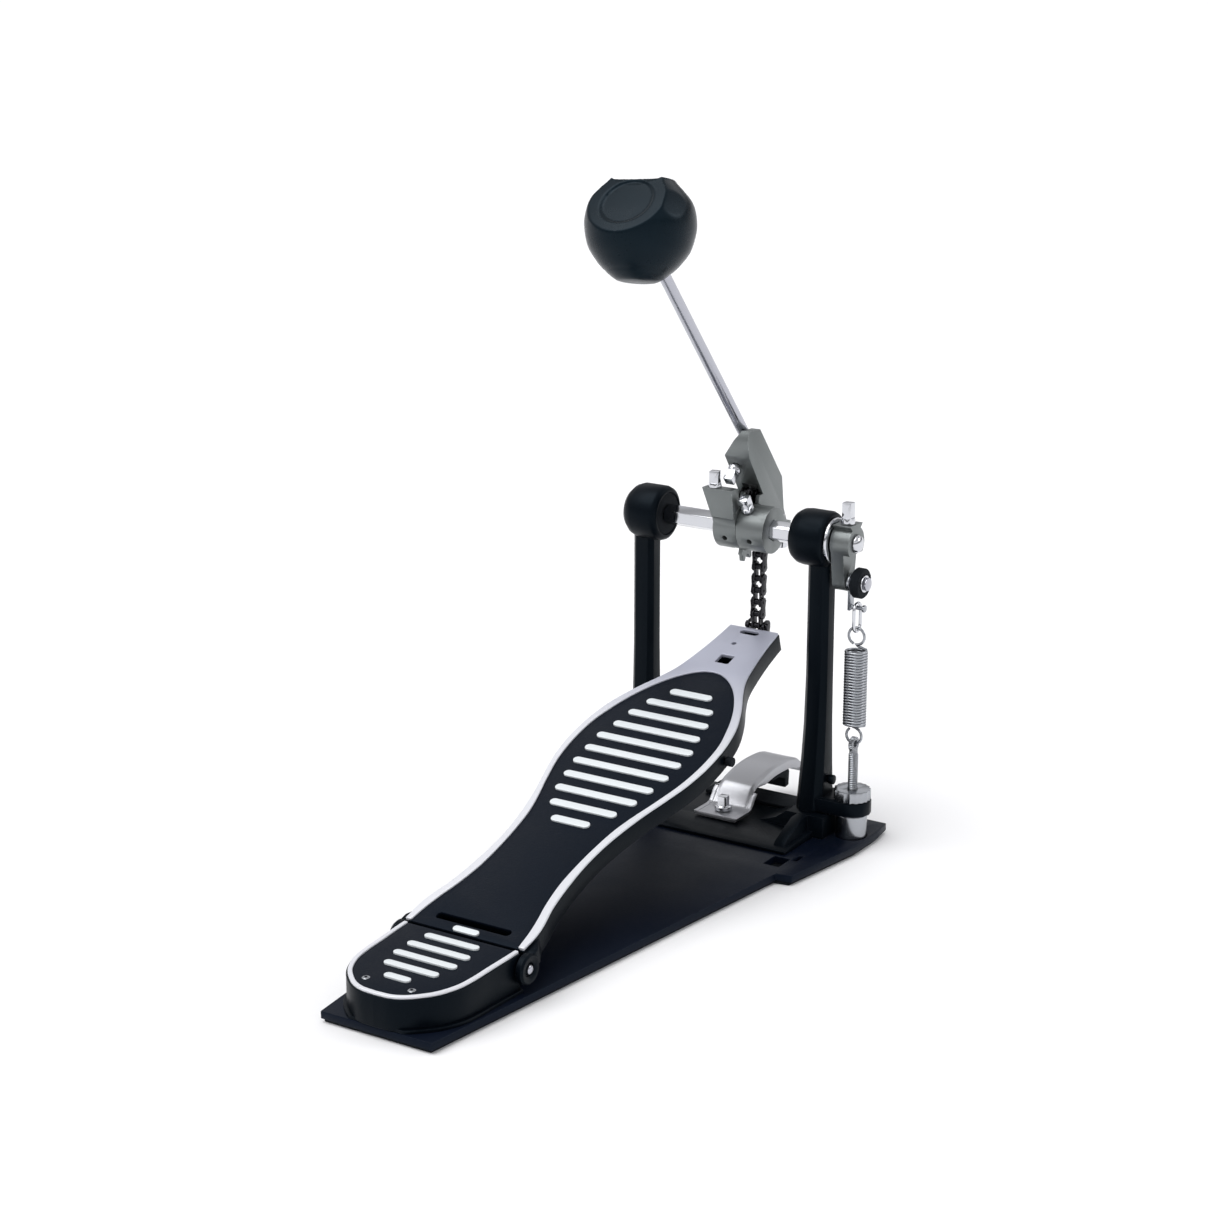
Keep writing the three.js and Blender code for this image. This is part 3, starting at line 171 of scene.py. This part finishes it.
# ------------------------------------------------------------------ CAD nodes that stay: softened edges, even shading
def smooth_group(deg):
    ng = bpy.data.node_groups.new(f"smooth_{deg}", "GeometryNodeTree")
    ng.interface.new_socket("Geometry", in_out="INPUT", socket_type="NodeSocketGeometry")
    ng.interface.new_socket("Geometry", in_out="OUTPUT", socket_type="NodeSocketGeometry")
    gi, go = ng.nodes.new("NodeGroupInput"), ng.nodes.new("NodeGroupOutput")
    f = ng.nodes.new("GeometryNodeSetShadeSmooth"); f.domain = "FACE"
    e = ng.nodes.new("GeometryNodeSetShadeSmooth"); e.domain = "EDGE"; e.inputs["Shade Smooth"].default_value = False
    a = ng.nodes.new("GeometryNodeInputMeshEdgeAngle")
    c = ng.nodes.new("FunctionNodeCompare"); c.data_type = "FLOAT"; c.operation = "GREATER_THAN"; c.inputs[1].default_value = rad(deg)
    L = ng.links
    L.new(gi.outputs[0], f.inputs["Geometry"]); L.new(f.outputs[0], e.inputs["Geometry"])
    L.new(a.outputs["Unsigned Angle"], c.inputs[0]); L.new(c.outputs[0], e.inputs["Selection"])
    L.new(e.outputs[0], go.inputs[0])
    return ng
SM = smooth_group(38)

def finish_look(o, bevel=0.0, segs=2, angle=38, weld=True):
    if weld:
        w = o.modifiers.new("weld", "WELD"); w.merge_threshold = 0.00002
    if bevel:
        b = o.modifiers.new("bevel", "BEVEL"); b.width = bevel; b.segments = segs
        b.limit_method = "ANGLE"; b.angle_limit = rad(angle); b.use_clamp_overlap = True; b.harden_normals = False
    s = o.modifiers.new("shade", "NODES"); s.node_group = SM

def paint(o, mat):
    o.data.materials.clear(); o.data.materials.append(mat)

def node(name, mat, bevel=0.0003, segs=2):
    o = N[name]
    for i, s in enumerate(o.material_slots):
        s.material = M[mat]
    if not o.material_slots:
        o.data.materials.append(M[mat])
    finish_look(o, bevel, segs)

for n, m, w in [
    ("base_plate", "plate", 0.0005), ("rubber_mat", "rubber", 0.0003), ("frame_casting", "paint", 0.0009), ("hoop_pad", "rubber", 0.0004),
    ("left_post", "paint", 0.0007), ("right_post", "paint", 0.0007), ("post_screw_right", "paint", 0.0003), ("post_screw_left", "paint", 0.0003),
    ("left_bearing", "rubber", 0.0003), ("right_bearing", "steel", 0.0003), ("axle", "chrome", 0.0003), ("bearing_ring", "chrome", 0.0),
    ("sprocket_hub", "cast", 0.0003), ("hub_clamp_screw", "chrome", 0.0003), ("beater_holder", "cast", 0.0007),
    ("lock_key_screw", "chrome", 0.0003), ("shaft_key_screw", "chrome", 0.0003), ("hub_key_screw", "chrome", 0.0003),
    ("beater_shaft", "steel", 0.0), ("toe_clevis", "chain", 0.0002), ("toe_pin", "chain", 0.0001),
    ("heel_screw_left", "zinc", 0.0002), ("heel_screw_right", "zinc", 0.0002), ("hinge_pin", "steel", 0.0004),
    ("rocker", "cast", 0.0006), ("rocker_key_screw", "chrome", 0.0003), ("rocker_end_screw", "chrome", 0.0),
    ("rocker_pin", "steel", 0.0003), ("hanger_bearing", "rubber", 0.0), ("hanger_hub", "chrome", 0.0002), ("hanger_yoke", "zinc", 0.0002),
    ("spring_rod", "thread", 0.0001), ("tension_nut", "zinc", 0.0003), ("tension_sleeve", "zinc", 0.0004),
    ("board_stop", "rubber", 0.0003), ("clamp_screw", "chrome", 0.0003), ("clamp_pad", "rubber", 0.0005),
] + [(c, "chain", 0.0001) for c in N if c.startswith("chain_")]:
    node(n, m, w)

# ------------------------------------------------------------------ mesh helpers
def link_mesh(name, me, mat, Mx=I4):
    o = bpy.data.objects.new(name, me)
    coll.objects.link(o)
    o.matrix_world = Mx
    paint(o, mat)
    return o

def clean(me):
    bm = bmesh.new(); bm.from_mesh(me)
    bmesh.ops.remove_doubles(bm, verts=bm.verts, dist=1e-6)
    bmesh.ops.recalc_face_normals(bm, faces=bm.faces)
    bm.to_mesh(me); bm.free()

def bake(o):
    """Applies the modifiers, so that the final mesh is what rides on its body."""
    bpy.context.view_layer.update()
    dg = bpy.context.evaluated_depsgraph_get()
    me = bpy.data.meshes.new_from_object(o.evaluated_get(dg))
    o.modifiers.clear()
    o.data = me
    return o

def plate(name, loops, z0, z1, mat, bevel=0.4, segs=3, Mx=I4):
    """A flat piece between two heights with any holes, its edges rounded. Millimetres."""
    bm = bmesh.new()
    edges = []
    for lp in loops:
        vs = [bm.verts.new((x * MM, y * MM, z0 * MM)) for x, y in lp]
        edges += [bm.edges.new((vs[i], vs[(i + 1) % len(vs)])) for i in range(len(vs))]
    bmesh.ops.triangle_fill(bm, use_beauty=True, use_dissolve=False, edges=edges)
    r = bmesh.ops.extrude_face_region(bm, geom=list(bm.faces))
    for v in [g for g in r["geom"] if isinstance(g, bmesh.types.BMVert)]:
        v.co.z = z1 * MM
    bmesh.ops.recalc_face_normals(bm, faces=bm.faces)
    me = bpy.data.meshes.new(name); bm.to_mesh(me); bm.free()
    o = link_mesh(name, me, mat, Mx)
    finish_look(o, bevel * MM, segs, 40, weld=False)
    return bake(o)

def lathe(name, prof, mat, Mx=I4, n=64):
    """Profile of (radius, height) in millimetres turned about Z."""
    bm = bmesh.new()
    rings = []
    for r, z in prof:
        if r < 1e-6:
            rings.append([bm.verts.new((0, 0, z * MM))])
        else:
            rings.append([bm.verts.new((r * MM * math.cos(2 * math.pi * k / n), r * MM * math.sin(2 * math.pi * k / n), z * MM)) for k in range(n)])
    for a, b in zip(rings, rings[1:]):
        for k in range(n):
            q = [a[k % len(a)], a[(k + 1) % len(a)], b[(k + 1) % len(b)], b[k % len(b)]]
            u = []
            for v in q:
                if v not in u: u.append(v)
            if len(u) > 2: bm.faces.new(u)
    bmesh.ops.recalc_face_normals(bm, faces=bm.faces)
    me = bpy.data.meshes.new(name); bm.to_mesh(me); bm.free()
    o = link_mesh(name, me, mat, Mx)
    finish_look(o, 0, weld=False)
    return bake(o)

def sweep(name, pts, r, mat, closed=False, sides=12):
    """Round wire along points, in millimetres."""
    P = [Vector(p) for p in pts]
    n = len(P)
    bm = bmesh.new(); rings = []
    up = None
    for i, p in enumerate(P):
        a = P[(i - 1) % n] if (closed or i > 0) else p
        b = P[(i + 1) % n] if (closed or i < n - 1) else p
        t = (b - a).normalized()
        if up is None:
            up = t.orthogonal().normalized()
        up = (up - t * up.dot(t)).normalized()
        w = t.cross(up)
        rings.append([bm.verts.new((p + (up * math.cos(2 * math.pi * k / sides) + w * math.sin(2 * math.pi * k / sides)) * r) * MM) for k in range(sides)])
    m = n if closed else n - 1
    for i in range(m):
        A, B = rings[i], rings[(i + 1) % n]
        off = 0
        if closed and i == n - 1:
            off = min(range(sides), key=lambda s: sum((A[k].co - B[(k + s) % sides].co).length for k in range(sides)))
        for k in range(sides):
            bm.faces.new((A[k], A[(k + 1) % sides], B[(k + 1 + off) % sides], B[(k + off) % sides]))
    if not closed:
        bm.faces.new(rings[0][::-1]); bm.faces.new(rings[-1])
    bmesh.ops.recalc_face_normals(bm, faces=bm.faces)
    me = bpy.data.meshes.new(name); bm.to_mesh(me); bm.free()
    o = link_mesh(name, me, mat)
    finish_look(o, 0, weld=False)
    return bake(o)

def join(name, objs):
    bm = bmesh.new()
    for o in objs:
        me = o.data.copy(); me.transform(o.matrix_world); bm.from_mesh(me)
    me = bpy.data.meshes.new(name); bm.to_mesh(me); bm.free()
    mat = objs[0].data.materials[0]
    for o in objs: bpy.data.objects.remove(o)
    return link_mesh(name, me, mat)

def cr(tab, per=6):
    """Smooth curve through (s, w) points."""
    pts = [Vector((w, s)) for s, w in tab]
    P = [2 * pts[0] - pts[1]] + pts + [2 * pts[-1] - pts[-2]]
    out = []
    for i in range(1, len(P) - 2):
        p0, p1, p2, p3 = P[i - 1:i + 3]
        for k in range(per):
            t = k / per
            out.append(0.5 * ((2 * p1) + (p2 - p0) * t + (2 * p0 - 5 * p1 + 4 * p2 - p3) * t * t + (3 * p1 - p0 - 3 * p2 + p3) * t ** 3))
    out.append(pts[-1])
    return [(p.x, p.y) for p in out]

def both(right):
    return right + [(-x, y) for x, y in reversed(right)]

def capsule(h, r, s, x=0.0, n=8):
    pts = [(x + h - r + r * math.cos(-math.pi / 2 + math.pi * i / n), s + r * math.sin(-math.pi / 2 + math.pi * i / n)) for i in range(n + 1)]
    pts += [(x - h + r + r * math.cos(math.pi / 2 + math.pi * i / n), s + r * math.sin(math.pi / 2 + math.pi * i / n)) for i in range(n + 1)]
    return pts

def rect(x0, x1, y0, y1, c=0.8):
    return [(x0 + c, y0), (x1 - c, y0), (x1, y0 + c), (x1, y1 - c), (x1 - c, y1), (x0 + c, y1), (x0, y1 - c), (x0, y0 + c)]

def circ(x, y, r, n=20):
    return [(x + r * math.cos(2 * math.pi * k / n), y + r * math.sin(2 * math.pi * k / n)) for k in range(n)]

# ------------------------------------------------------------------ footboard
HY, HZ, SLOPE, HSLOPE, LEAN = -250.18, 25.06, rad(16.38), rad(2.92), rad(40.5)
MB = Matrix.Translation((0, HY * MM, HZ * MM)) @ Matrix.Rotation(SLOPE, 4, "X")
MH = Matrix.Translation((0, HY * MM, HZ * MM)) @ Matrix.Rotation(HSLOPE, 4, "X")
OUT = [(0.9, 33.0), (12, 32.9), (20, 31.8), (33, 28.7), (48, 26.8), (64, 25.8), (78, 26.2), (90, 27.6), (100, 29.4), (110, 31.6), (122, 34.9), (137, 38.6), (152, 40.5), (166, 40.6), (178, 39.4), (190, 36.8), (204, 31.4), (217, 25.0), (228, 20.6), (242, 17.8), (258, 15.7), (273.5, 14.5)]
INL = [(0.9, 29.8), (12, 28.7), (22, 26.9), (32, 24.6), (47, 22.4), (63, 22.0), (78, 22.6), (93, 24.2), (106, 27.2), (119, 31.0), (136, 35.2), (153, 37.1), (170, 36.7), (183, 34.0), (195, 30.4), (206, 25.6), (216, 19.6), (224, 12.4), (228.5, 5.5), (229.6, 0.01)]
BARS = [12.1, 19.2, 23.1, 24.9, 27.6, 27.5, 27.2, 25.4, 23.1, 18.8, 10.8]
outr = cr(OUT)
inlr = cr(INL)
def shrink(right, d, s0=None, s1=None):
    r = []
    for i, (x, y) in enumerate(right):
        a, b = right[max(0, i - 1)], right[min(len(right) - 1, i + 1)]
        t = Vector((b[0] - a[0], b[1] - a[1])).normalized()
        r.append((x - t.y * d, y + t.x * d))
    return [(x, y if s0 is None else max(s0, min(s1, y))) for x, y in r]
slot_lp = rect(-20.5, 20.5, 7.0, 11.4, 1.2)
toe_sq, toe_slot, toe_hole = rect(-4.2, 3.6, 238.4, 246.2, 0.5), capsule(5.4, 1.7, 268.8, -0.4), circ(-3.2, 257.2, 1.3)
skirt = plate("board_skirt", [both(outr), both(shrink(outr, 3.0, 4.0, 270.4))], -10.5, -1.3, M["paint"], 0.7, 3, MB)
deck = plate("board_deck", [both(shrink(outr, 1.2, 1.2, 272.6)), slot_lp, toe_sq, toe_slot, toe_hole], -4.2, -1.6, M["paint"], 0.3, 2, MB)
panel_r = shrink(inlr, -0.7)
panel = plate("board_panel", [both([(x, max(0.9, y)) for x, y in panel_r[:-1]]), slot_lp], -2.6, -0.75, M["panel"], 0.3, 2, MB)
tr_out = [(x, y) for x, y in shrink(outr, 0.25, 1.4, 273.2)]
trim = plate("board_trim", [tr_out + [(-x, y) for x, y in reversed(tr_out)] + [(-x, max(1.4, y)) for x, y in inlr] + [(x, max(1.4, y)) for x, y in reversed(inlr[:-1])], toe_sq, toe_slot, toe_hole], -2.2, 0.0, M["trim"], 0.45, 3, MB)
# painted shade: the toe end of the trim is a shade darker than its thin rails, a lavender darkening that stands in for
# how the light falls on that end
tm = M["trim"].copy(); tm.name = "silver_trim_board_toe_shade"
nn, L = tm.node_tree.nodes, tm.node_tree.links
pb = [x for x in nn if x.type == "BSDF_PRINCIPLED"][0]
src = pb.inputs["Base Color"].links[0].from_socket
tcb = nn.new("ShaderNodeTexCoord"); sxb = nn.new("ShaderNodeSeparateXYZ"); mrb = nn.new("ShaderNodeMapRange"); toe_shade_mix = nn.new("ShaderNodeMix")
toe_shade_mix.data_type = "RGBA"; toe_shade_mix.blend_type = "MULTIPLY"
mrb.inputs["From Min"].default_value = 0.165; mrb.inputs["From Max"].default_value = 0.232
L.new(tcb.outputs["Object"], sxb.inputs[0]); L.new(sxb.outputs["Y"], mrb.inputs["Value"]); L.new(mrb.outputs[0], toe_shade_mix.inputs[0])
# painted shade colour, multiplied into the trim towards the toe
L.new(src, toe_shade_mix.inputs[6]); toe_shade_mix.inputs[7].default_value = (0.60, 0.61, 0.69, 1)
L.new(toe_shade_mix.outputs[2], pb.inputs["Base Color"])
paint(trim, tm)
bars = [plate(f"board_bar_{i + 1}", [capsule(w, 2.25, 92.3 + 11.48 * (10 - i))], -1.4, 0.15, M["bars"], 0.5, 3, MB) for i, w in enumerate(BARS)]
bars.append(plate("board_bar_heel", [capsule(7.0, 1.75, 3.2)], -1.4, 0.15, M["bars"], 0.5, 3, MB))
board_bars = join("board_bars", bars)
# ears that carry the hinge pin
PY, PZ = -249.5, 16.5
ears = []
for sx in (-1, 1):
    a = lathe(f"ear_{sx}", [(3.3, 33.1), (6.6, 33.1), (7.3, 33.8), (7.3, 36.2), (6.4, 37.2), (4.4, 37.2), (3.3, 36.4), (3.3, 33.1)], M["paint"], Matrix.Translation((0, PY * MM, PZ * MM)) @ Matrix.Rotation(rad(90 * sx), 4, "Y"), 56)
    ears.append(a)
    lx0, lx1 = (30.4, 37.0) if sx > 0 else (-37.0, -30.4)
    ears.append(plate(f"ear_arm_{sx}", [[(lx0, 2.2), (lx1, 2.2), (lx1, 6.0), (lx1 - (4.2 if sx > 0 else 0), 13.5), (lx0 + (0 if sx > 0 else 4.2), 13.5), (lx0, 6.0)]], -10.3, -2.4, M["paint"], 0.9, 3, MB))
board_ears = join("board_ears", ears)
under = join("board_under", [plate("u1", [rect(-12.6, 12.6, 232.0, 270.6)], -10.2, -9.2, M["paint"], 0.2, 2, MB), plate("u2", [rect(-27.5, 27.5, 4.6, 26.0)], -10.2, -9.2, M["paint"], 0.2, 2, MB)])
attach(under, "board")
pin_body = lathe("hinge_rod", [(0, -36.4), (2.4, -36.4), (2.9, -35.9), (2.9, 35.9), (2.4, 36.4), (0, 36.4)], M["paint"], Matrix.Translation((0, PY * MM, PZ * MM)) @ Matrix.Rotation(rad(90), 4, "Y"), 40)
caps = join("hinge_rod_ends", [lathe(f"he{k}", [(0, 36.3), (2.1, 36.3), (2.1, 36.9), (1.6, 37.35), (0.5, 37.45), (0, 37.45)], M["steel"], Matrix.Translation((0, PY * MM, PZ * MM)) @ Matrix.Rotation(rad(90 * k), 4, "Y"), 32) for k in (-1, 1)])
for o in (pin_body, caps):
    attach(o, "frame")
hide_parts("hinge_pin")
for o in (skirt, deck, panel, trim, board_bars, board_ears):
    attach(o, "board")
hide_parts("footboard")

# ------------------------------------------------------------------ heel block
HEEL = [(-66.0, 0.01), (-65.4, 8), (-62.8, 14.5), (-58.0, 20.4), (-51.5, 25.8), (-42, 29.8), (-32, 31.2), (-21, 31.6), (-10, 32.2), (-1.0, 32.5)]
hr = cr(HEEL)
hi = [(max(x, 0.01), y) for x, y in shrink(hr, 2.9)]
def wall_block(name, right, zb, nt, mat, inner=None):
    """Upright wall from the plate to the sloped heel surface."""
    bm = bmesh.new()
    lp = both(right)
    lo = [bm.verts.new((x * MM, (HY + y) * MM, zb * MM)) for x, y in lp]
    hi_ = [bm.verts.new((x * MM, (HY + y * math.cos(HSLOPE)) * MM, (HZ + y * math.sin(HSLOPE) + nt) * MM)) for x, y in lp]
    n = len(lp)
    for i in range(n):
        bm.faces.new((lo[i], lo[(i + 1) % n], hi_[(i + 1) % n], hi_[i]))
    bm.faces.new(lo[::-1]); bm.faces.new(hi_)
    bmesh.ops.remove_doubles(bm, verts=bm.verts, dist=1e-5)
    bmesh.ops.recalc_face_normals(bm, faces=bm.faces)
    me = bpy.data.meshes.new(name); bm.to_mesh(me); bm.free()
    o = link_mesh(name, me, mat); finish_look(o, 0.0008, 3, 40, weld=False)
    return bake(o)
heel = wall_block("heel_body", hr, 5.7, -1.2, M["paint"])
h_out = [(max(x, 0.01), y) for x, y in shrink(hr, 0.75)]
h_trim = plate("heel_trim", [both(h_out)[:] if False else ([(x, y) for x, y in h_out] + [(x, y) for x, y in reversed(hi)] + [(-x, y) for x, y in hi[1:]] + [(-x, y) for x, y in reversed(h_out[1:])])], -2.2, 0.0, M["trim"], 0.45, 3, MH)
h_panel = plate("heel_panel", [both([(x + 0.6 if x > 1 else x, y - 0.5 if y < -40 else y) for x, y in hi])], -2.4, -0.75, M["panel"], 0.3, 2, MH)
h_bars = join("heel_bars", [plate(f"hb{i}", [capsule(w, 2.05, s)], -1.4, 0.15, M["bars"], 0.5, 3, MH) for i, (s, w) in enumerate([(-7.8, 14.8), (-17.9, 17.0), (-28.0, 17.15), (-38.2, 14.7), (-48.3, 7.0)])])
lip = plate("heel_lip", [both([(max(x, 0.01), HY + max(y, -64.4)) for x, y in shrink(hr, -1.5)])], 5.4, 7.0, M["paint"], 0.5, 3)
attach(lip, "frame")
for sx, nm in ((-1, "left"), (1, "right")):
    sc = lathe(f"heel_screw_top_{nm}", [(0, -1.4), (1.9, -1.4), (1.9, -0.55), (1.5, -0.3), (0.75, -0.25), (0.7, -0.75), (0, -0.75)], M["zinc"], MH @ Matrix.Translation((sx * 12.5 * MM, -54.6 * MM, 0)), 32)
    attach(sc, "frame"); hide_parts(f"heel_screw_{nm}")
for o, s in ((heel, "black"), (h_trim, "silver"), (h_panel, "black"), (h_bars, "silver")):
    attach(o, "frame")
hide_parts("heel_block")

# ------------------------------------------------------------------ beater head
def beater():
    d = Vector((0, -math.sin(LEAN), math.cos(LEAN)))
    c = Vector((-1.5, 5.2 - 160 * math.sin(LEAN), 203 + 160 * math.cos(LEAN)))
    back = Vector((-0.100, 0.270, 0.957)).normalized()    # the head's own axis, tipped back a little
    Q = back.to_track_quat("Z", "Y").to_matrix()
    side = Vector((0.55 * 0.84 - 0.33 * 0.154 + 0.73 * 0.5205, 0.55 * 0.543 + 0.33 * 0.238 - 0.73 * 0.8055, 0.33 * 0.959 + 0.73 * 0.2833)).normalized()
    prof = [(-25.4, 0.0), (-25.4, 3.0), (-25.2, 6.5), (-24.2, 10.4), (-19.8, 16.2), (-15.3, 20.3), (-9.4, 24.1), (-2.0, 26.0), (3.0, 26.3), (9.0, 25.3), (13.5, 23.3), (18.0, 19.4), (21.4, 16.0), (22.4, 15.2), (22.5, 14.5), (21.9, 13.4), (21.7, 8.0), (21.7, 0.0)]
    pp = cr(prof, 7)
    n = 160
    bm = bmesh.new(); rings = []
    for r, z in pp:
        rings.append([bm.verts.new((r * math.cos(2 * math.pi * k / n), r * math.sin(2 * math.pi * k / n), z)) for k in range(n)] if r > 0.02 else [bm.verts.new((0, 0, z))])
    for a, b in zip(rings, rings[1:]):
        for k in range(n):
            u = []
            for v in (a[k % len(a)], a[(k + 1) % n if len(a) > 1 else 0], b[(k + 1) % n if len(b) > 1 else 0], b[k % len(b)]):
                if v not in u: u.append(v)
            if len(u) > 2: bm.faces.new(u)
    D0 = 18.4
    for v in bm.verts:
        z0 = v.co.z
        p = v.co.copy()
        if abs(z0 + 20.6) < 0.5:                          # moulding seam near the bottom
            p = Vector((p.x * 0.985, p.y * 0.985, p.z))
        p = Q @ p
        h = p.dot(d)
        rr = (p - d * h).length
        if h > D0:                          # end face, square to the shaft, with a stepped dish
            k = D0 + 0.06 * (h - D0)
            if rr < 13.4: k -= 0.9 * min(1, (13.4 - rr) / 1.1)
            p -= d * (h - k)
        q = p.dot(side)
        if q > 25.75: p -= side * (q - 25.75) * 0.8
        v.co = (p + c) * MM
    bmesh.ops.recalc_face_normals(bm, faces=bm.faces)
    me = bpy.data.meshes.new("beater_ball"); bm.to_mesh(me); bm.free()
    o = link_mesh("beater_ball", me, M["beater"])
    finish_look(o, 0, weld=False)
    return bake(o)
ball = beater()
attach(ball, "beater"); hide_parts("beater_head")

# ------------------------------------------------------------------ return spring: close-wound coil, loop above, hook below
SX = 66.0
def spring():
    zt, zb, R, w, turns = 104.6, 65.0, 5.35, 0.72, 27
    pts = []
    for i in range(15):                                   # lower hook ring, in the XZ plane
        a = rad(100 - 330 * i / 14)
        pts.append((SX + 4.3 * math.cos(a) * 1.0, 0, 59.2 + 4.3 * math.sin(a)))
    pts = pts[::-1]
    a0 = math.atan2(0, 1)
    lead = [(SX + 1.5, 0, 64.0), (SX + 3.6, 0.6, 64.7)]
    pts += lead
    n = turns * 22
    for i in range(n + 1):
        a = rad(12) + 2 * math.pi * turns * i / n
        pts.append((SX + R * math.cos(a), R * math.sin(a), zb + (zt - zb) * i / n))
    pts += [(SX + 4.6, 2.0, 105.1), (SX + 2.6, 1.2, 105.9), (SX + 0.6, 0.2, 107.0)]
    for i in range(18):                                   # upper loop
        a = rad(-95 + 345 * i / 17)
        pts.append((SX + 4.45 * math.cos(a), 0, 112.1 + 4.45 * math.sin(a)))
    return sweep("return_spring_coil", pts, w, M["zinc"], sides=10)
sp = spring()
sp.parent = None
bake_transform(sp)
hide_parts("return_spring")

# oval link
def oval(W, H, r, zc):
    R, n = W / 2 - r, 14
    h = H / 2 - r - R
    p = [(SX, R * math.cos(math.pi * i / n), zc + h + R * math.sin(math.pi * i / n)) for i in range(n + 1)]
    p += [(SX, R * math.cos(math.pi + math.pi * i / n), zc - h + R * math.sin(math.pi + math.pi * i / n)) for i in range(n + 1)]
    return p
lk = sweep("oval_link", oval(9.0, 16.4, 0.9, 121.95), 0.9, M["chrome"], closed=True, sides=14)
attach(lk, "spring_up"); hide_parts("hanger_link")

# ------------------------------------------------------------------ hoop clamp: pressed channel with a flanged foot
def clamp():
    t0 = 9.0
    top = [(-27.5, t0 + 2.5), (-20, t0 + 2.55), (-13.5, t0 + 2.7), (-10.6, t0 + 4.6), (-5.2, 20.4), (0.5, 23.2), (13.5, 25.9), (24, 26.4), (34, 25.8), (42, 23.6), (47.5, 19.6), (50.6, 15.2)]
    c = cr([(z, y) for y, z in top], 5)                   # (y, z)
    bm = bmesh.new()
    hw = 10.6
    nx = 14
    grid = []
    for i, (y, z) in enumerate(c):
        a, b = c[max(0, i - 1)], c[min(len(c) - 1, i + 1)]
        t = Vector((b[0] - a[0], b[1] - a[1])).normalized()
        drop = 0.0
        if y > -8: drop = min(5.2, 5.2 * min(1, (y + 8) / 14)) if y < 44 else 5.2 * max(0.25, (51 - y) / 7)
        row = []
        # across: flange, rounded shoulder, top
        prof = [(-hw, -drop)] if drop > 0.6 else [(-hw, 0)]
        for k in range(nx + 1):
            x = -hw + 2 * hw * k / nx
            e = max(0, abs(x) - (hw - 1.8)) / 1.8
            prof.append((x, -0.9 * e * e if drop > 0.6 else -0.25 * e * e))
        prof.append((hw, -drop) if drop > 0.6 else (hw, 0))
        for x, dz in prof:
            row.append(bm.verts.new(((0.8 + x) * MM, (y - t.y * dz) * MM, (z + t.x * dz) * MM)))
        grid.append(row)
    for A, B in zip(grid, grid[1:]):
        for k in range(len(A) - 1):
            bm.faces.new((A[k], A[k + 1], B[k + 1], B[k]))
    bmesh.ops.recalc_face_normals(bm, faces=bm.faces)
    me = bpy.data.meshes.new("clamp_strap"); bm.to_mesh(me); bm.free()
    o = link_mesh("clamp_strap", me, M["clamp"])
    if o.data.polygons[len(o.data.polygons) // 2].normal.z < 0:
        o.data.flip_normals()
    s = o.modifiers.new("solid", "SOLIDIFY"); s.thickness = 0.0022; s.offset = -1
    b = o.modifiers.new("bevel", "BEVEL"); b.width = 0.0005; b.segments = 2; b.limit_method = "ANGLE"; b.angle_limit = rad(50)
    finish_look(o, 0, weld=False)
    return bake(o)
cl = clamp()
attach(cl, "clamp"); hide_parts("hoop_clamp")

# ------------------------------------------------------------------ floor and light
bm = bmesh.new()
bmesh.ops.create_grid(bm, x_segments=2, y_segments=2, size=60)
me = bpy.data.meshes.new("floor"); bm.to_mesh(me); bm.free()
fm, fnt, fb = new_mat("floor_pale")
fb.inputs["Base Color"].default_value = (0.86, 0.86, 0.87, 1)
fb.inputs["Roughness"].default_value = 0.75
floor = link_mesh("floor", me, fm)
floor.location.z = -0.0003

w = bpy.data.worlds.new("studio"); bpy.context.scene.world = w; w.use_nodes = True
wt = w.node_tree
bg = wt.nodes["Background"]
tcw = wt.nodes.new("ShaderNodeTexCoord"); spw = wt.nodes.new("ShaderNodeSeparateXYZ")
wr = wt.nodes.new("ShaderNodeValToRGB")
wt.links.new(tcw.outputs["Generated"], spw.inputs[0]); wt.links.new(spw.outputs["Z"], wr.inputs[0]); wt.links.new(wr.outputs[0], bg.inputs[0])
wr.color_ramp.elements[0].position = 0.0; wr.color_ramp.elements[0].color = (1, 1, 1, 1)
wr.color_ramp.elements[1].position = 1.0; wr.color_ramp.elements[1].color = (1, 1, 1, 1)
for ps, v in ((0.05, 1.0), (0.13, 0.22), (0.24, 0.22), (0.36, 0.95), (0.55, 1.0), (0.72, 0.45)):
    e = wr.color_ramp.elements.new(ps); e.color = (v, v, v * 1.02, 1)
bg.inputs[1].default_value = 0.95

def sun(name, direction, strength, soft):
    l = bpy.data.lights.new(name, "SUN"); l.energy = strength; l.angle = soft
    o = bpy.data.objects.new(name, l); coll.objects.link(o)
    o.rotation_euler = Vector(direction).to_track_quat("-Z", "Y").to_euler()
    return o
def area(name, loc, size, power, look=(0, -0.12, 0.12)):
    l = bpy.data.lights.new(name, "AREA"); l.energy = power; l.size = size
    o = bpy.data.objects.new(name, l); coll.objects.link(o)
    o.location = loc
    o.rotation_euler = (Vector(look) - Vector(loc)).to_track_quat("-Z", "Y").to_euler()
    return o
sun("key", (0.45, 0.62, -1.5), 2.0, 0.9)
area("rim", (1.9, 0.9, 1.3), 0.9, 8)
bpy.context.scene.view_settings.view_transform = "Standard"
